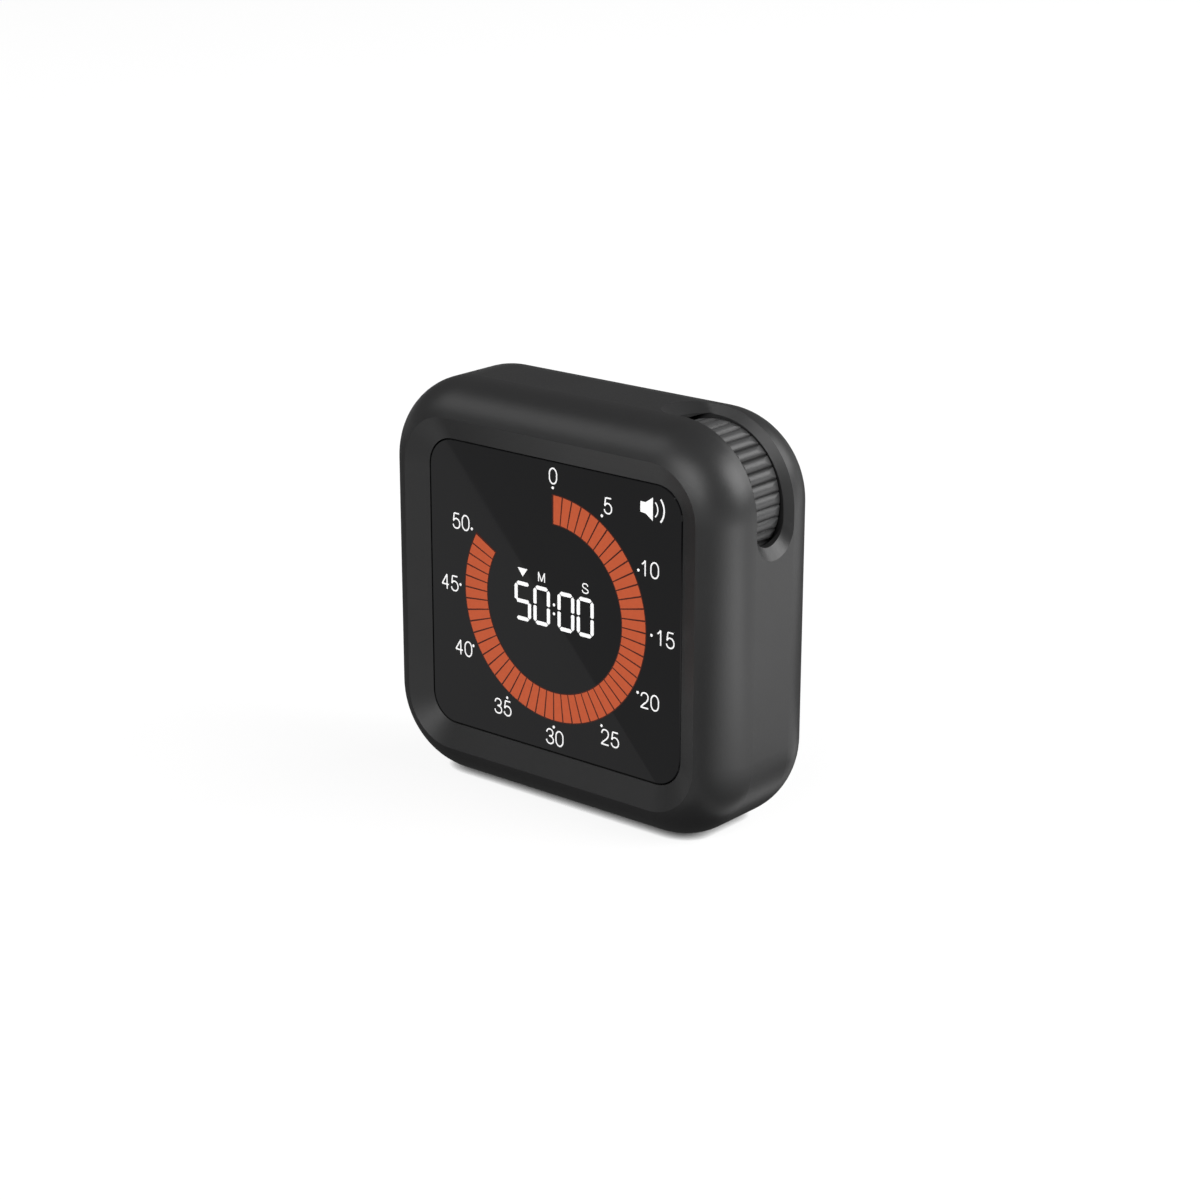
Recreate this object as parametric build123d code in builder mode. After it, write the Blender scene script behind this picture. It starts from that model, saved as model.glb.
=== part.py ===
from build123d import *
import os
from math import cos, radians, sin, sqrt

# Digital timer: a rounded square case with a sunken display and a thumbwheel in its corner.
# Millimetres. +X right, +Y towards the back, +Z up. The origin is the middle of the base.

# Case
case_width = 80.0
case_height = 76.0
case_depth = 30.0
corner_radius = 16.2
front_round = 9.56
rear_round = 10.58
rim_drop = 0.6
side_wall = 4.0
cover_wall = 2.0
seam_angle = 41.0
ledge_thickness = 1.5
core_front_round = 4.0
overrun = 1.0

# Display
lens_side_margin = 10.68
lens_end_margin = 10.64
lens_radius = 5.5
lens_thickness = 1.5
lens_sink = 2.12
lens_gap = 0.15
lens_edge = 0.2
gasket_thickness = 0.3
gasket_margin = 0.4
window_border = 2.1
window_radius = 4.0
lcd_border = 1.2
lcd_thickness = 2.7
lcd_ledge = 2.6
guide_thickness = 1.8
guide_side_room = 2.0
frame_wall = 1.2
frame_gap = 0.15
frame_radius = 1.5
zebra_width = 1.8
zebra_end_room = 3.0
led_count = 4
led_spacing = 11.0
led_length = 3.0
led_width = 1.4
led_height = 1.2

# Thumbwheel and its slot
wheel_radius = 13.25
wheel_width = 7.6
wheel_lean = 1.22
wheel_depth = 14.29
wheel_rim = 2.6
wheel_web = 2.2
wheel_front_edge = 0.2
wheel_front_run = 0.3
wheel_back_edge = 0.3
wheel_back_run = 1.8
scallop_count = 36
scallop_depth = 0.5
hub_radius = 5.2
shaft_radius = 3.0
shaft_flat = 0.6
shaft_fit = 0.05
wheel_side_gap = 0.45
wheel_rim_gap = 0.6
flare_width = 1.1
flare_depth = 1.5
mouth_run = 2.25
throat_top_run = 0.1
throat_side_run = 1.3
wheel_screw_head_radius = 3.9
wheel_screw_head = 1.2
wheel_screw_radius = 1.0
wheel_screw_length = 4.0

# Encoder behind the wheel
encoder_size = 10.0
encoder_thickness = 4.4
encoder_gap = 0.9
encoder_neck_radius = 4.4
neck_gap = 0.36
encoder_floor = 0.6
shaft_end_gap = 0.3
encoder_board_width = 21.1
encoder_board_height = 17.0
encoder_board_radius = 4.5
encoder_board_side = 1.0
encoder_board_top = 0.5
encoder_post_inset = 5.2
encoder_post_rise = 3.4

# Boards, screws and posts
board_thickness = 1.6
board_edge_gap = 1.4
wheel_clear = 0.8
post_gap = 0.4
post_radius = 2.9
post_inset = 3.1
post_top_drop = 10.0
board_post_radius = 2.4
board_post_inset = 3.5
small_post_radius = 1.8
screw_radius = 1.15
screw_head_radius = 2.0
screw_head = 1.2
screw_length = 9.0
screw_seat = 3.0
screw_fit = 0.05
head_gap = 0.2
recess_width = 0.5
recess_length = 2.2
recess_depth = 0.7
small_screw_radius = 0.8
small_screw_head_radius = 1.5
small_screw_head = 0.9
small_screw_length = 4.6
left_post_high = 19.0
left_post_low = 19.0
right_post_low = 23.0
top_post_reach = 18.5
top_board_post_x = 8.0
right_board_post_low = 8.0

# Rear cover
lip_height = 2.0
lip_gap = 0.1
lip_thickness = 1.4
bay_wall = 1.3
bay_side_wall = 2.0
bay_bevel = 1.7
bay_outer_bevel = 3.6
hollow_round = 3.0
tongue_wall_drop = 1.6
bay_end_gap = 1.5
bay_front_room = 0.1
bay_side_room = 0.35
cell_radius = 5.25
cell_body = 43.7
nub_radius = 1.9
nub_length = 0.8
cell_edge = 0.5
cell_spacing = 10.8
door_drop = 2.1
sound_hole_radius = 0.9
sound_ring_radius = 3.4
sound_hole_count = 6

# Battery door
door_gap = 0.3
door_seat_gap = 0.3
door_overlap = 0.9
door_left_reach = 1.2
tongue_length = 1.6
tongue_thickness = 1.0
tongue_width = 5.0
tongue_spacing = 14.0
tongue_gap = 0.25
tab_width = 8.0
tab_length = 1.6
tab_thickness = 0.7
tab_gap = 0.1
pad_thickness = 0.4
pad_margin = 3.0
notch_height = 5.2
notch_slope = 0.9
notch_depth = 0.3
notch_run = 3.2
notch_tilt = 12.0

# Battery contacts
contact_thickness = 0.4
contact_width = 8.0
contact_height = 7.6
leaf_width = 4.0
leaf_height = 6.4
tail_width = 3.0
tail_reach = 1.4
tail_gap = 0.2

# Volume switch, buzzer and rear board
rear_board_side_gap = 1.95
rear_board_height = 31.0
rear_post_inset = 1.9
rear_post_high = 13.4
rear_post_low = 1.4
switch_rise = 7.5
switch_width = 5.6
switch_cavity = 3.0
stem_reach = 2.4
switch_length = 12.0
switch_height = 4.0
slot_width = 2.4
stem_width = 1.8
stem_length = 2.4
stem_gap = 0.2
slide_travel = 2.0
pocket_width = 5.4
pocket_depth = 1.2
knob_width = 4.4
knob_length = 4.8
knob_lift = 0.15
knob_sink = 0.15
knob_rib_count = 3
knob_rib_spacing = 1.3
knob_rib = 0.5
knob_rib_height = 0.3
buzzer_drop = 6.9
buzzer_radius = 6.0
buzzer_height = 3.6
buzzer_port_radius = 1.0
buzzer_port_depth = 0.8

# Components on the main board
chip_size = 12.0
chip_height = 1.4
chip_x = -8.0
chip_z = 8.0
crystal_width = 3.6
crystal_length = 9.0
crystal_height = 2.6
crystal_x = -22.0
crystal_z = 20.0
capacitor_radius = 2.5
capacitor_height = 5.0
capacitor_spacing = 7.0
capacitor_x = -10.0
capacitor_z = -20.0
capacitor_edge = 0.4
ribbon_width = 8.0
ribbon_thickness = 0.5
ribbon_step = 3.0
ribbon_bend = 2.0
ribbon_turn_share = 0.3
ribbon_x = -22.0
ribbon_z = -8.0
encoder_ribbon_step = -1.2
encoder_ribbon_bend = 1.2

# Depths, from the rim ridge to the back
front_y = -case_depth / 2
back_y = case_depth / 2
round_y = front_y - rim_drop
rear_centre_y = back_y - rear_round
seam_y = rear_centre_y + rear_round * sin(radians(seam_angle))
lens_y = front_y + lens_sink
gasket_y = lens_y + lens_thickness
ledge_y = gasket_y + gasket_thickness
lcd_y = ledge_y + ledge_thickness
guide_y = lcd_y + lcd_thickness
board_y = guide_y + guide_thickness
board_back_y = board_y + board_thickness
cover_y = back_y - cover_wall
post_y = back_y - post_top_drop
display_z = case_height / 2
lens_width = case_width - 2 * lens_side_margin
lens_height = case_height - 2 * lens_end_margin

# The ridge lies where the sloped band meets the front round
rim_inset = front_round - sqrt(front_round**2 - (front_round - rim_drop) ** 2)
rim_width = case_width - 2 * rim_inset
rim_height = case_height - 2 * rim_inset
rim_radius = corner_radius - rim_inset
pocket_lens_width = lens_width + 2 * lens_gap
pocket_lens_height = lens_height + 2 * lens_gap
pocket_lens_radius = lens_radius + lens_gap
band_stretch = (lens_y - round_y + overrun) / lens_sink
window_width = lens_width - 2 * window_border
window_height = lens_height - 2 * window_border
core_width = case_width - 2 * side_wall
core_height = case_height - 2 * side_wall
core_radius = corner_radius - side_wall
lcd_width = window_width + 2 * lcd_border
lcd_height = window_height + 2 * lcd_border
frame_width = lcd_width + 2 * (frame_gap + frame_wall)
frame_height = lcd_height + 2 * (frame_gap + frame_wall)

# The wheel leans out of the corner along its diagonal
corner_x = case_width / 2 - corner_radius
corner_z = case_height - corner_radius
wheel_x = corner_x + wheel_lean
wheel_z = corner_z + wheel_lean
wheel_y = front_y + wheel_depth
wheel_front_y = wheel_y - wheel_width / 2
wheel_back_y = wheel_y + wheel_width / 2
slot_half = wheel_width / 2 + wheel_side_gap

# Screw posts, as places (x, z)
post_x = core_width / 2 - post_inset
cover_posts = [
    (-post_x, display_z + left_post_high),
    (-post_x, display_z - left_post_low),
    (post_x, display_z - right_post_low),
    (wheel_x - top_post_reach, case_height - side_wall - post_inset),
]
board_post_x = core_width / 2 - board_post_inset
board_posts = [
    (-board_post_x, display_z),
    (board_post_x, display_z - right_board_post_low),
    (-top_board_post_x, case_height - side_wall - board_post_inset),
    (0, side_wall + board_post_inset),
]

# Battery bay, from the inner face of the cover's right side
cell_length = cell_body + nub_length
door_z = display_z - door_drop
bay_right_x = core_width / 2 - lip_gap - lip_thickness - bay_wall - lip_gap
bay_length = cell_length + 2 * bay_end_gap
bay_left_x = bay_right_x - bay_length
bay_x = (bay_left_x + bay_right_x) / 2
bay_height = cell_spacing + 2 * cell_radius + 2 * bay_side_room
cell_y = cover_y - pad_thickness - bay_front_room - cell_radius
bay_floor_y = cell_y - cell_radius - bay_front_room
bay_rim_y = cover_y - door_seat_gap
door_left_x = bay_left_x - bay_wall - door_left_reach
door_height = bay_height + 2 * door_overlap
opening_left_x = door_left_x - door_gap
hollow_inset = lip_gap + lip_thickness
hollow_left_x = hollow_inset - core_width / 2
rear_board_x = (hollow_left_x + opening_left_x) / 2
rear_board_width = opening_left_x - hollow_left_x - 2 * rear_board_side_gap
rear_post_side = rear_board_width / 2 - rear_post_inset
switch_z = door_z + switch_rise
buzzer_z = door_z - buzzer_drop
rear_board_y = cover_y - switch_height - board_thickness
encoder_y = wheel_back_y + encoder_gap
encoder_board_y = encoder_y + encoder_thickness
screw_seat_y = post_y + screw_seat
screw_tip_y = screw_seat_y - screw_length
board_tip_y = board_back_y - small_screw_length
encoder_board_x = wheel_x + encoder_size / 2 + encoder_board_side - encoder_board_width / 2
encoder_board_z = wheel_z + encoder_size / 2 + encoder_board_top - encoder_board_height / 2
encoder_left_x = encoder_board_x - encoder_board_width / 2
encoder_post_x = encoder_left_x + encoder_post_inset
encoder_posts = [
    (encoder_post_x, encoder_board_z + encoder_board_height / 2 - encoder_post_rise),
    (encoder_post_x, encoder_board_z - encoder_board_height / 2 + encoder_post_rise),
]
rear_posts = [
    (rear_board_x - rear_post_side, display_z + rear_post_high),
    (rear_board_x + rear_post_side, display_z - rear_post_low),
]


def face_plane(y, x=0, z=0):
    """Plane across the timer at depth y, seen from the front: local x is X and local y is Z."""
    return Plane(origin=(x, y, z), x_dir=(1, 0, 0), z_dir=(0, -1, 0))


def slab(y, depth, width, height, radius, mode=Mode.ADD):
    """Add or cut a rounded plate about the display's middle, from depth y towards the back."""
    with BuildSketch(face_plane(y, 0, display_z)) as outline:
        RectangleRounded(width, height, radius)
    extrude(outline.sketch, amount=-depth, mode=mode)


def discs(places, y, depth, radius, mode=Mode.ADD):
    """Add or cut round posts or holes at places (x, z), from depth y towards the back."""
    with BuildSketch(face_plane(y)) as outline:
        with Locations(*places):
            Circle(radius)
    extrude(outline.sketch, amount=-depth, mode=mode)


def block(x, z, y, depth, width, height, mode=Mode.ADD):
    """Add or cut a square block centred at (x, z), from depth y towards the back."""
    with BuildSketch(face_plane(y, x, z)) as outline:
        Rectangle(width, height)
    extrude(outline.sketch, amount=-depth, mode=mode)


def crosses(places, y, depth=recess_depth):
    """Cut the driver's cross into screw heads at places (x, z) with tops at depth y; depth is negative on
    heads that face the front."""
    with BuildSketch(face_plane(y)) as outline:
        with Locations(*places):
            Rectangle(recess_length, recess_width)
            Rectangle(recess_width, recess_length)
    extrude(outline.sketch, amount=depth, mode=Mode.SUBTRACT)


os.makedirs("parts", exist_ok=True)

# Outer form of the closed case: a rounded block with a large round at the front and at the back
with BuildPart() as case_form:
    slab(round_y, back_y - round_y, case_width, case_height, corner_radius)
    fillet(case_form.faces().sort_by(Axis.Y)[0].edges(), front_round)
    fillet(case_form.faces().sort_by(Axis.Y)[-1].edges(), rear_round)

# Hollow inside the housing, open at the back
with BuildPart() as core_form:
    slab(lcd_y, seam_y - lcd_y + overrun, core_width, core_height, core_radius)
    fillet(core_form.faces().sort_by(Axis.Y)[0].edges(), core_front_round)

# Sloped band that runs in from the rim to the lens
with BuildPart() as band_form:
    with BuildSketch(face_plane(lens_y, 0, display_z)):
        RectangleRounded(pocket_lens_width, pocket_lens_height, pocket_lens_radius)
    with BuildSketch(face_plane(round_y - overrun, 0, display_z)):
        RectangleRounded(
            pocket_lens_width + (rim_width - pocket_lens_width) * band_stretch,
            pocket_lens_height + (rim_height - pocket_lens_height) * band_stretch,
            pocket_lens_radius + (rim_radius - pocket_lens_radius) * band_stretch,
        )
    loft(ruled=True)

# Flared slot round the upper right corner: a quarter turn with a round end on each flat
slot_reach = side_wall + overrun
mouth_stretch = 1 + overrun / flare_depth
mouth_half = slot_half + flare_width * mouth_stretch
section_points = [
    (-slot_half, -slot_reach),
    (-slot_half, -flare_depth),
    (-mouth_half, overrun),
    (mouth_half, overrun),
    (slot_half, -flare_depth),
    (slot_half, -slot_reach),
]
# across the slot, where the quarter turn begins: local x is the depth, local y points outwards
top_plane = Plane(origin=(corner_x, wheel_y, case_height), x_dir=(0, 1, 0), z_dir=(1, 0, 0))
with BuildPart() as slot_form:
    with BuildSketch(top_plane) as top_section:
        Polygon(*section_points, align=None)
    revolve(top_section.sketch, axis=Axis((corner_x, wheel_y, corner_z), (0, 1, 0)), revolution_arc=90)
    # the ends on the two flats: local x runs from the corner along the slot
    top_end = Plane(origin=(corner_x, wheel_y, case_height), x_dir=(-1, 0, 0), z_dir=(0, 0, 1))
    side_end = Plane(origin=(case_width / 2, wheel_y, corner_z), x_dir=(0, 0, -1), z_dir=(1, 0, 0))
    for end_plane, throat_run in ((top_end, throat_top_run), (side_end, throat_side_run)):
        reach = throat_run + (mouth_run - throat_run) * mouth_stretch
        with BuildSketch(end_plane.offset(overrun)) as mouth:
            with Locations((reach / 2, 0)):
                SlotCenterToCenter(reach, 2 * mouth_half)
        with BuildSketch(end_plane.offset(-flare_depth)) as throat:
            with Locations((throat_run / 2, 0)):
                SlotCenterToCenter(throat_run, 2 * slot_half)
        loft([mouth.sketch.face(), throat.sketch.face()], ruled=True)
        extrude(throat.sketch, amount=flare_depth - slot_reach)

# Room round the wheel inside the wall
with BuildPart() as well_form:
    discs([(wheel_x, wheel_z)], wheel_y - slot_half, 2 * slot_half, wheel_radius + wheel_rim_gap)

# Nail notch on the rear round, at the seam, with sloping ends
notch_outward = (cos(radians(seam_angle + notch_tilt)), sin(radians(seam_angle + notch_tilt)), 0)
notch_along = (-sin(radians(seam_angle + notch_tilt)), cos(radians(seam_angle + notch_tilt)), 0)
notch_at = (
    case_width / 2 - rear_round + (rear_round - notch_depth) * cos(radians(seam_angle)),
    rear_centre_y + (rear_round - notch_depth) * sin(radians(seam_angle)),
    door_z,
)
with BuildPart() as notch_form:
    with BuildSketch(Plane(origin=notch_at, x_dir=notch_outward, z_dir=notch_along)):
        with BuildLine():
            Polyline(
                (0, notch_slope - notch_height / 2),
                (overrun, -notch_height / 2 - notch_slope),
                (overrun, notch_height / 2 + notch_slope),
                (0, notch_height / 2 - notch_slope),
                close=True,
            )
        make_face()
    extrude(amount=notch_run / 2, both=True)

# Housing: the moulded front shell with the side walls
with BuildPart() as housing:
    add(case_form.part)
    split(bisect_by=face_plane(seam_y), keep=Keep.TOP)
    add(band_form.part, mode=Mode.SUBTRACT)
    slab(lens_y - overrun, overrun + ledge_y - lens_y, pocket_lens_width, pocket_lens_height,
         pocket_lens_radius, Mode.SUBTRACT)
    slab(ledge_y - overrun, overrun + ledge_thickness + overrun, window_width, window_height,
         window_radius, Mode.SUBTRACT)
    add(core_form.part, mode=Mode.SUBTRACT)
    discs(cover_posts, lcd_y - overrun, post_y - lcd_y + overrun, post_radius)
    discs(board_posts, lcd_y - overrun, board_y - lcd_y + overrun, board_post_radius)
    discs(cover_posts, screw_tip_y - overrun, post_y - screw_tip_y + 2 * overrun,
          screw_radius + screw_fit, Mode.SUBTRACT)
    discs(board_posts, board_tip_y - overrun, board_y - board_tip_y + 2 * overrun,
          small_screw_radius + screw_fit, Mode.SUBTRACT)
    add(slot_form.part, mode=Mode.SUBTRACT)
    add(well_form.part, mode=Mode.SUBTRACT)
    add(notch_form.part, mode=Mode.SUBTRACT)
housing.part.label = "housing"
export_step(housing.part, "parts/housing.step")

# Lens: the black window over the display
with BuildPart() as display_lens:
    slab(lens_y, lens_thickness, lens_width, lens_height, lens_radius)
    chamfer(display_lens.faces().sort_by(Axis.Y)[0].edges(), lens_edge)
display_lens.part.label = "display_lens"
export_step(display_lens.part, "parts/display_lens.step")

# Adhesive frame that holds the lens on its ledge
with BuildPart() as lens_gasket:
    slab(gasket_y, gasket_thickness, lens_width - 2 * gasket_margin, lens_height - 2 * gasket_margin,
         lens_radius - gasket_margin)
    slab(gasket_y - overrun, gasket_thickness + 2 * overrun, window_width, window_height,
         window_radius, Mode.SUBTRACT)
lens_gasket.part.label = "lens_gasket"
export_step(lens_gasket.part, "parts/lens_gasket.step")

# Display panel: the glass is cut back along its rear edges for the contact strips
with BuildPart() as lcd_panel:
    block(0, display_z, lcd_y, lcd_thickness / 2, lcd_width, lcd_height)
    block(0, display_z, lcd_y + lcd_thickness / 2, lcd_thickness / 2, lcd_width, lcd_height - 2 * lcd_ledge)
lcd_panel.part.label = "lcd_panel"
export_step(lcd_panel.part, "parts/lcd_panel.step")

# Light guide behind the panel
guide_width = lcd_width - 2 * guide_side_room
guide_height = lcd_height - 2 * lcd_ledge
with BuildPart() as light_guide:
    block(0, display_z, guide_y, guide_thickness, guide_width, guide_height)
light_guide.part.label = "light_guide"
export_step(light_guide.part, "parts/light_guide.step")

# Lamps on the board that shine into the left edge of the guide
led_x = (guide_side_room - lcd_width) / 2
with BuildPart() as backlight_leds:
    with BuildSketch(face_plane(board_y - led_height, led_x, display_z)):
        with GridLocations(0, led_spacing, 1, led_count):
            Rectangle(led_width, led_length)
    extrude(amount=-led_height)
backlight_leds.part.label = "backlight_leds"
export_step(backlight_leds.part, "parts/backlight_leds.step")

# Rubber contact strips between the panel's ledges and the board, the upper one short of the wheel
wheel_cut_x = wheel_x - wheel_radius - wheel_clear
wheel_cut_z = wheel_z - wheel_radius - wheel_clear
zebra_y = lcd_y + lcd_thickness / 2
zebra_z = (lcd_height - lcd_ledge) / 2
zebra_left = zebra_end_room - lcd_width / 2
with BuildPart() as zebra_strips:
    for zebra_right, zebra_place in ((-zebra_left, -zebra_z), (wheel_cut_x - zebra_end_room, zebra_z)):
        block((zebra_left + zebra_right) / 2, display_z + zebra_place, zebra_y, board_y - zebra_y,
              zebra_right - zebra_left, zebra_width)
zebra_strips.part.label = "zebra_strips"
export_step(zebra_strips.part, "parts/zebra_strips.step")

# Frame round the panel and the guide, between the ledge and the board
with BuildPart() as lcd_frame:
    slab(lcd_y, board_y - lcd_y, frame_width, frame_height, frame_radius)
    block(0, display_z, lcd_y - overrun, board_y - lcd_y + 2 * overrun, lcd_width + 2 * frame_gap,
          lcd_height + 2 * frame_gap, Mode.SUBTRACT)
lcd_frame.part.label = "lcd_frame"
export_step(lcd_frame.part, "parts/lcd_frame.step")

# Main board, cut away round the wheel and the cover's screw posts
board_width = core_width - 2 * board_edge_gap
board_height = core_height - 2 * board_edge_gap
wheel_cut_width = board_width / 2 - wheel_cut_x + overrun
wheel_cut_height = display_z + board_height / 2 - wheel_cut_z + overrun
with BuildPart() as main_board:
    slab(board_y, board_thickness, board_width, board_height, core_radius - board_edge_gap)
    block(wheel_cut_x + wheel_cut_width / 2, wheel_cut_z + wheel_cut_height / 2, board_y - overrun,
          board_thickness + 2 * overrun, wheel_cut_width, wheel_cut_height, Mode.SUBTRACT)
    discs(cover_posts, board_y - overrun, board_thickness + 2 * overrun, post_radius + post_gap,
          Mode.SUBTRACT)
    discs(board_posts, board_y - overrun, board_thickness + 2 * overrun, small_screw_radius + screw_fit,
          Mode.SUBTRACT)
main_board.part.label = "main_board"
export_step(main_board.part, "parts/main_board.step")

with BuildPart() as board_screws:
    discs(board_posts, board_back_y, small_screw_head, small_screw_head_radius)
    discs(board_posts, board_tip_y, small_screw_length, small_screw_radius)
    crosses(board_posts, board_back_y + small_screw_head)
board_screws.part.label = "board_screws"
export_step(board_screws.part, "parts/board_screws.step")

with BuildPart() as controller_chip:
    block(chip_x, display_z + chip_z, board_back_y, chip_height, chip_size, chip_size)
controller_chip.part.label = "controller_chip"
export_step(controller_chip.part, "parts/controller_chip.step")

with BuildPart() as crystal_can:
    with BuildSketch(face_plane(board_back_y, crystal_x, display_z + crystal_z)):
        SlotOverall(crystal_length, crystal_width)
    extrude(amount=-crystal_height)
crystal_can.part.label = "crystal_can"
export_step(crystal_can.part, "parts/crystal_can.step")

with BuildPart() as board_capacitors:
    with BuildSketch(face_plane(board_back_y, capacitor_x, display_z + capacitor_z)):
        with GridLocations(capacitor_spacing, 0, 2, 1):
            Circle(capacitor_radius)
    extrude(amount=-capacitor_height)
    chamfer(board_capacitors.faces().filter_by(Axis.Y).group_by(Axis.Y)[-1].edges(), capacitor_edge)
board_capacitors.part.label = "board_capacitors"
export_step(board_capacitors.part, "parts/board_capacitors.step")

# Thumbwheel: rounded scallops that taper towards the back, with a web and a hub
scallop_turn = radians(360 / scallop_count)
scallop_root = wheel_radius - scallop_depth


def on_circle(radius, turn):
    """Point on a circle about the sketch's middle."""
    return (radius * cos(turn), radius * sin(turn))


with BuildPart() as thumbwheel:
    with BuildSketch(face_plane(wheel_front_y, wheel_x, wheel_z)):
        with BuildLine():
            for scallop in range(scallop_count):
                start_turn = scallop * scallop_turn
                ThreePointArc(
                    on_circle(scallop_root, start_turn),
                    on_circle(wheel_radius, start_turn + scallop_turn / 2),
                    on_circle(scallop_root, start_turn + scallop_turn),
                )
        make_face()
    extrude(amount=-wheel_width)
    # the rim's outline is turned about the axle: local x is X and local y is the depth
    with BuildSketch(Plane.XY.offset(wheel_z)) as rim_section:
        with BuildLine():
            Polyline(
                (wheel_x, wheel_front_y),
                (wheel_x + wheel_radius - wheel_front_edge, wheel_front_y),
                (wheel_x + wheel_radius, wheel_front_y + wheel_front_run),
                (wheel_x + wheel_radius, wheel_back_y - wheel_back_run),
                (wheel_x + wheel_radius - wheel_back_edge, wheel_back_y),
                (wheel_x, wheel_back_y),
                close=True,
            )
        make_face()
    revolve(rim_section.sketch, axis=Axis((wheel_x, wheel_y, wheel_z), (0, 1, 0)), mode=Mode.INTERSECT)
    wheel_faces = [face_plane(face_y, wheel_x, wheel_z) for face_y in (wheel_front_y, wheel_back_y)]
    with BuildSketch(*wheel_faces) as webs:
        Circle(wheel_radius - wheel_rim)
        Circle(hub_radius, mode=Mode.SUBTRACT)
    extrude(webs.sketch, amount=(wheel_width - wheel_web) / 2, both=True, mode=Mode.SUBTRACT)
    discs([(wheel_x, wheel_z)], wheel_front_y - overrun, overrun + wheel_screw_head,
          wheel_screw_head_radius + head_gap, Mode.SUBTRACT)
    with BuildSketch(face_plane(wheel_front_y, wheel_x, wheel_z)) as bore:
        Circle(shaft_radius)
        with Locations((0, -shaft_radius)):
            Rectangle(2 * shaft_radius, 2 * shaft_flat, mode=Mode.SUBTRACT)
    extrude(bore.sketch, amount=-wheel_width, mode=Mode.SUBTRACT)
thumbwheel.part.label = "thumbwheel"
export_step(thumbwheel.part, "parts/thumbwheel.step")

# Encoder shaft, flattened to drive the wheel, with a tapped front end
shaft_front_y = wheel_front_y + wheel_screw_head
shaft_end_y = encoder_board_y - encoder_floor - shaft_end_gap
with BuildPart() as encoder_shaft:
    with BuildSketch(face_plane(shaft_front_y, wheel_x, wheel_z)):
        Circle(shaft_radius)
        with Locations((0, -shaft_radius)):
            Rectangle(2 * shaft_radius, 2 * shaft_flat, mode=Mode.SUBTRACT)
    extrude(amount=shaft_front_y - shaft_end_y)
    discs([(wheel_x, wheel_z)], shaft_front_y - overrun, overrun + wheel_screw_length + screw_fit,
          wheel_screw_radius + screw_fit, Mode.SUBTRACT)
encoder_shaft.part.label = "encoder_shaft"
export_step(encoder_shaft.part, "parts/encoder_shaft.step")

with BuildPart() as wheel_screw:
    discs([(wheel_x, wheel_z)], wheel_front_y, wheel_screw_head, wheel_screw_head_radius)
    discs([(wheel_x, wheel_z)], shaft_front_y, wheel_screw_length, wheel_screw_radius)
    crosses([(wheel_x, wheel_z)], wheel_front_y, -recess_depth)
wheel_screw.part.label = "wheel_screw"
export_step(wheel_screw.part, "parts/wheel_screw.step")

# Encoder: square body with a neck in which the shaft turns
neck_y = wheel_back_y + neck_gap
with BuildPart() as encoder_body:
    block(wheel_x, wheel_z, encoder_y, encoder_thickness, encoder_size, encoder_size)
    discs([(wheel_x, wheel_z)], neck_y, encoder_y - neck_y, encoder_neck_radius)
    discs([(wheel_x, wheel_z)], neck_y - overrun, encoder_board_y - encoder_floor - neck_y + overrun,
          shaft_radius + shaft_fit, Mode.SUBTRACT)
encoder_body.part.label = "encoder_body"
export_step(encoder_body.part, "parts/encoder_body.step")

encoder_board_back_y = encoder_board_y + board_thickness
with BuildPart() as encoder_board:
    with BuildSketch(face_plane(encoder_board_y, encoder_board_x, encoder_board_z)):
        RectangleRounded(encoder_board_width, encoder_board_height, encoder_board_radius)
    extrude(amount=-board_thickness)
    discs(encoder_posts, encoder_board_y - overrun, board_thickness + 2 * overrun,
          small_screw_radius + screw_fit, Mode.SUBTRACT)
encoder_board.part.label = "encoder_board"
export_step(encoder_board.part, "parts/encoder_board.step")

with BuildPart() as encoder_screws:
    discs(encoder_posts, encoder_board_y - small_screw_head, small_screw_head, small_screw_head_radius)
    discs(encoder_posts, encoder_board_y, small_screw_length, small_screw_radius)
    crosses(encoder_posts, encoder_board_y - small_screw_head, -recess_depth)
encoder_screws.part.label = "encoder_screws"
export_step(encoder_screws.part, "parts/encoder_screws.step")

# Hollow of the rear cover, inside its locating lip
lip_y = seam_y - lip_height
with BuildPart() as hollow_form:
    slab(lip_y - overrun, cover_y - lip_y + overrun, core_width - 2 * hollow_inset,
         core_height - 2 * hollow_inset, core_radius - hollow_inset)
    fillet(hollow_form.faces().sort_by(Axis.Y)[-1].edges(), hollow_round)

# Rear cover: the back, with the battery bay, screw tubes, sound holes and switch slot
tube_end_y = cover_y - post_gap
rear_board_back_y = rear_board_y + board_thickness
opening_height = door_height + 2 * door_gap
opening_width = case_width / 2 + overrun - opening_left_x
opening_x = opening_left_x + opening_width / 2
door_end_x = bay_right_x + bay_wall
door_end_width = case_width / 2 + overrun - door_end_x
tongue_room = bay_left_x - opening_left_x
slide_length = stem_length + 2 * (slide_travel + stem_gap)
pocket_length = knob_length + 2 * (slide_travel + stem_gap)
upper_cell_z = door_z + cell_spacing / 2
lower_cell_z = door_z - cell_spacing / 2
tail_right_x = bay_left_x + contact_thickness
tail_left_x = rear_board_x + rear_board_width / 2 - tail_reach


def trough(front, depth, length, height, bevel, mode=Mode.ADD):
    """Long box about the bay's middle, its two long front edges bevelled."""
    with BuildSketch(Plane(origin=(bay_x, front, door_z), x_dir=(0, 1, 0), z_dir=(1, 0, 0))) as end:
        Polygon(
            (0, bevel - height / 2),
            (bevel, -height / 2),
            (depth, -height / 2),
            (depth, height / 2),
            (bevel, height / 2),
            (0, height / 2 - bevel),
            align=None,
        )
    extrude(end.sketch, amount=length / 2, both=True, mode=mode)


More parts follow.
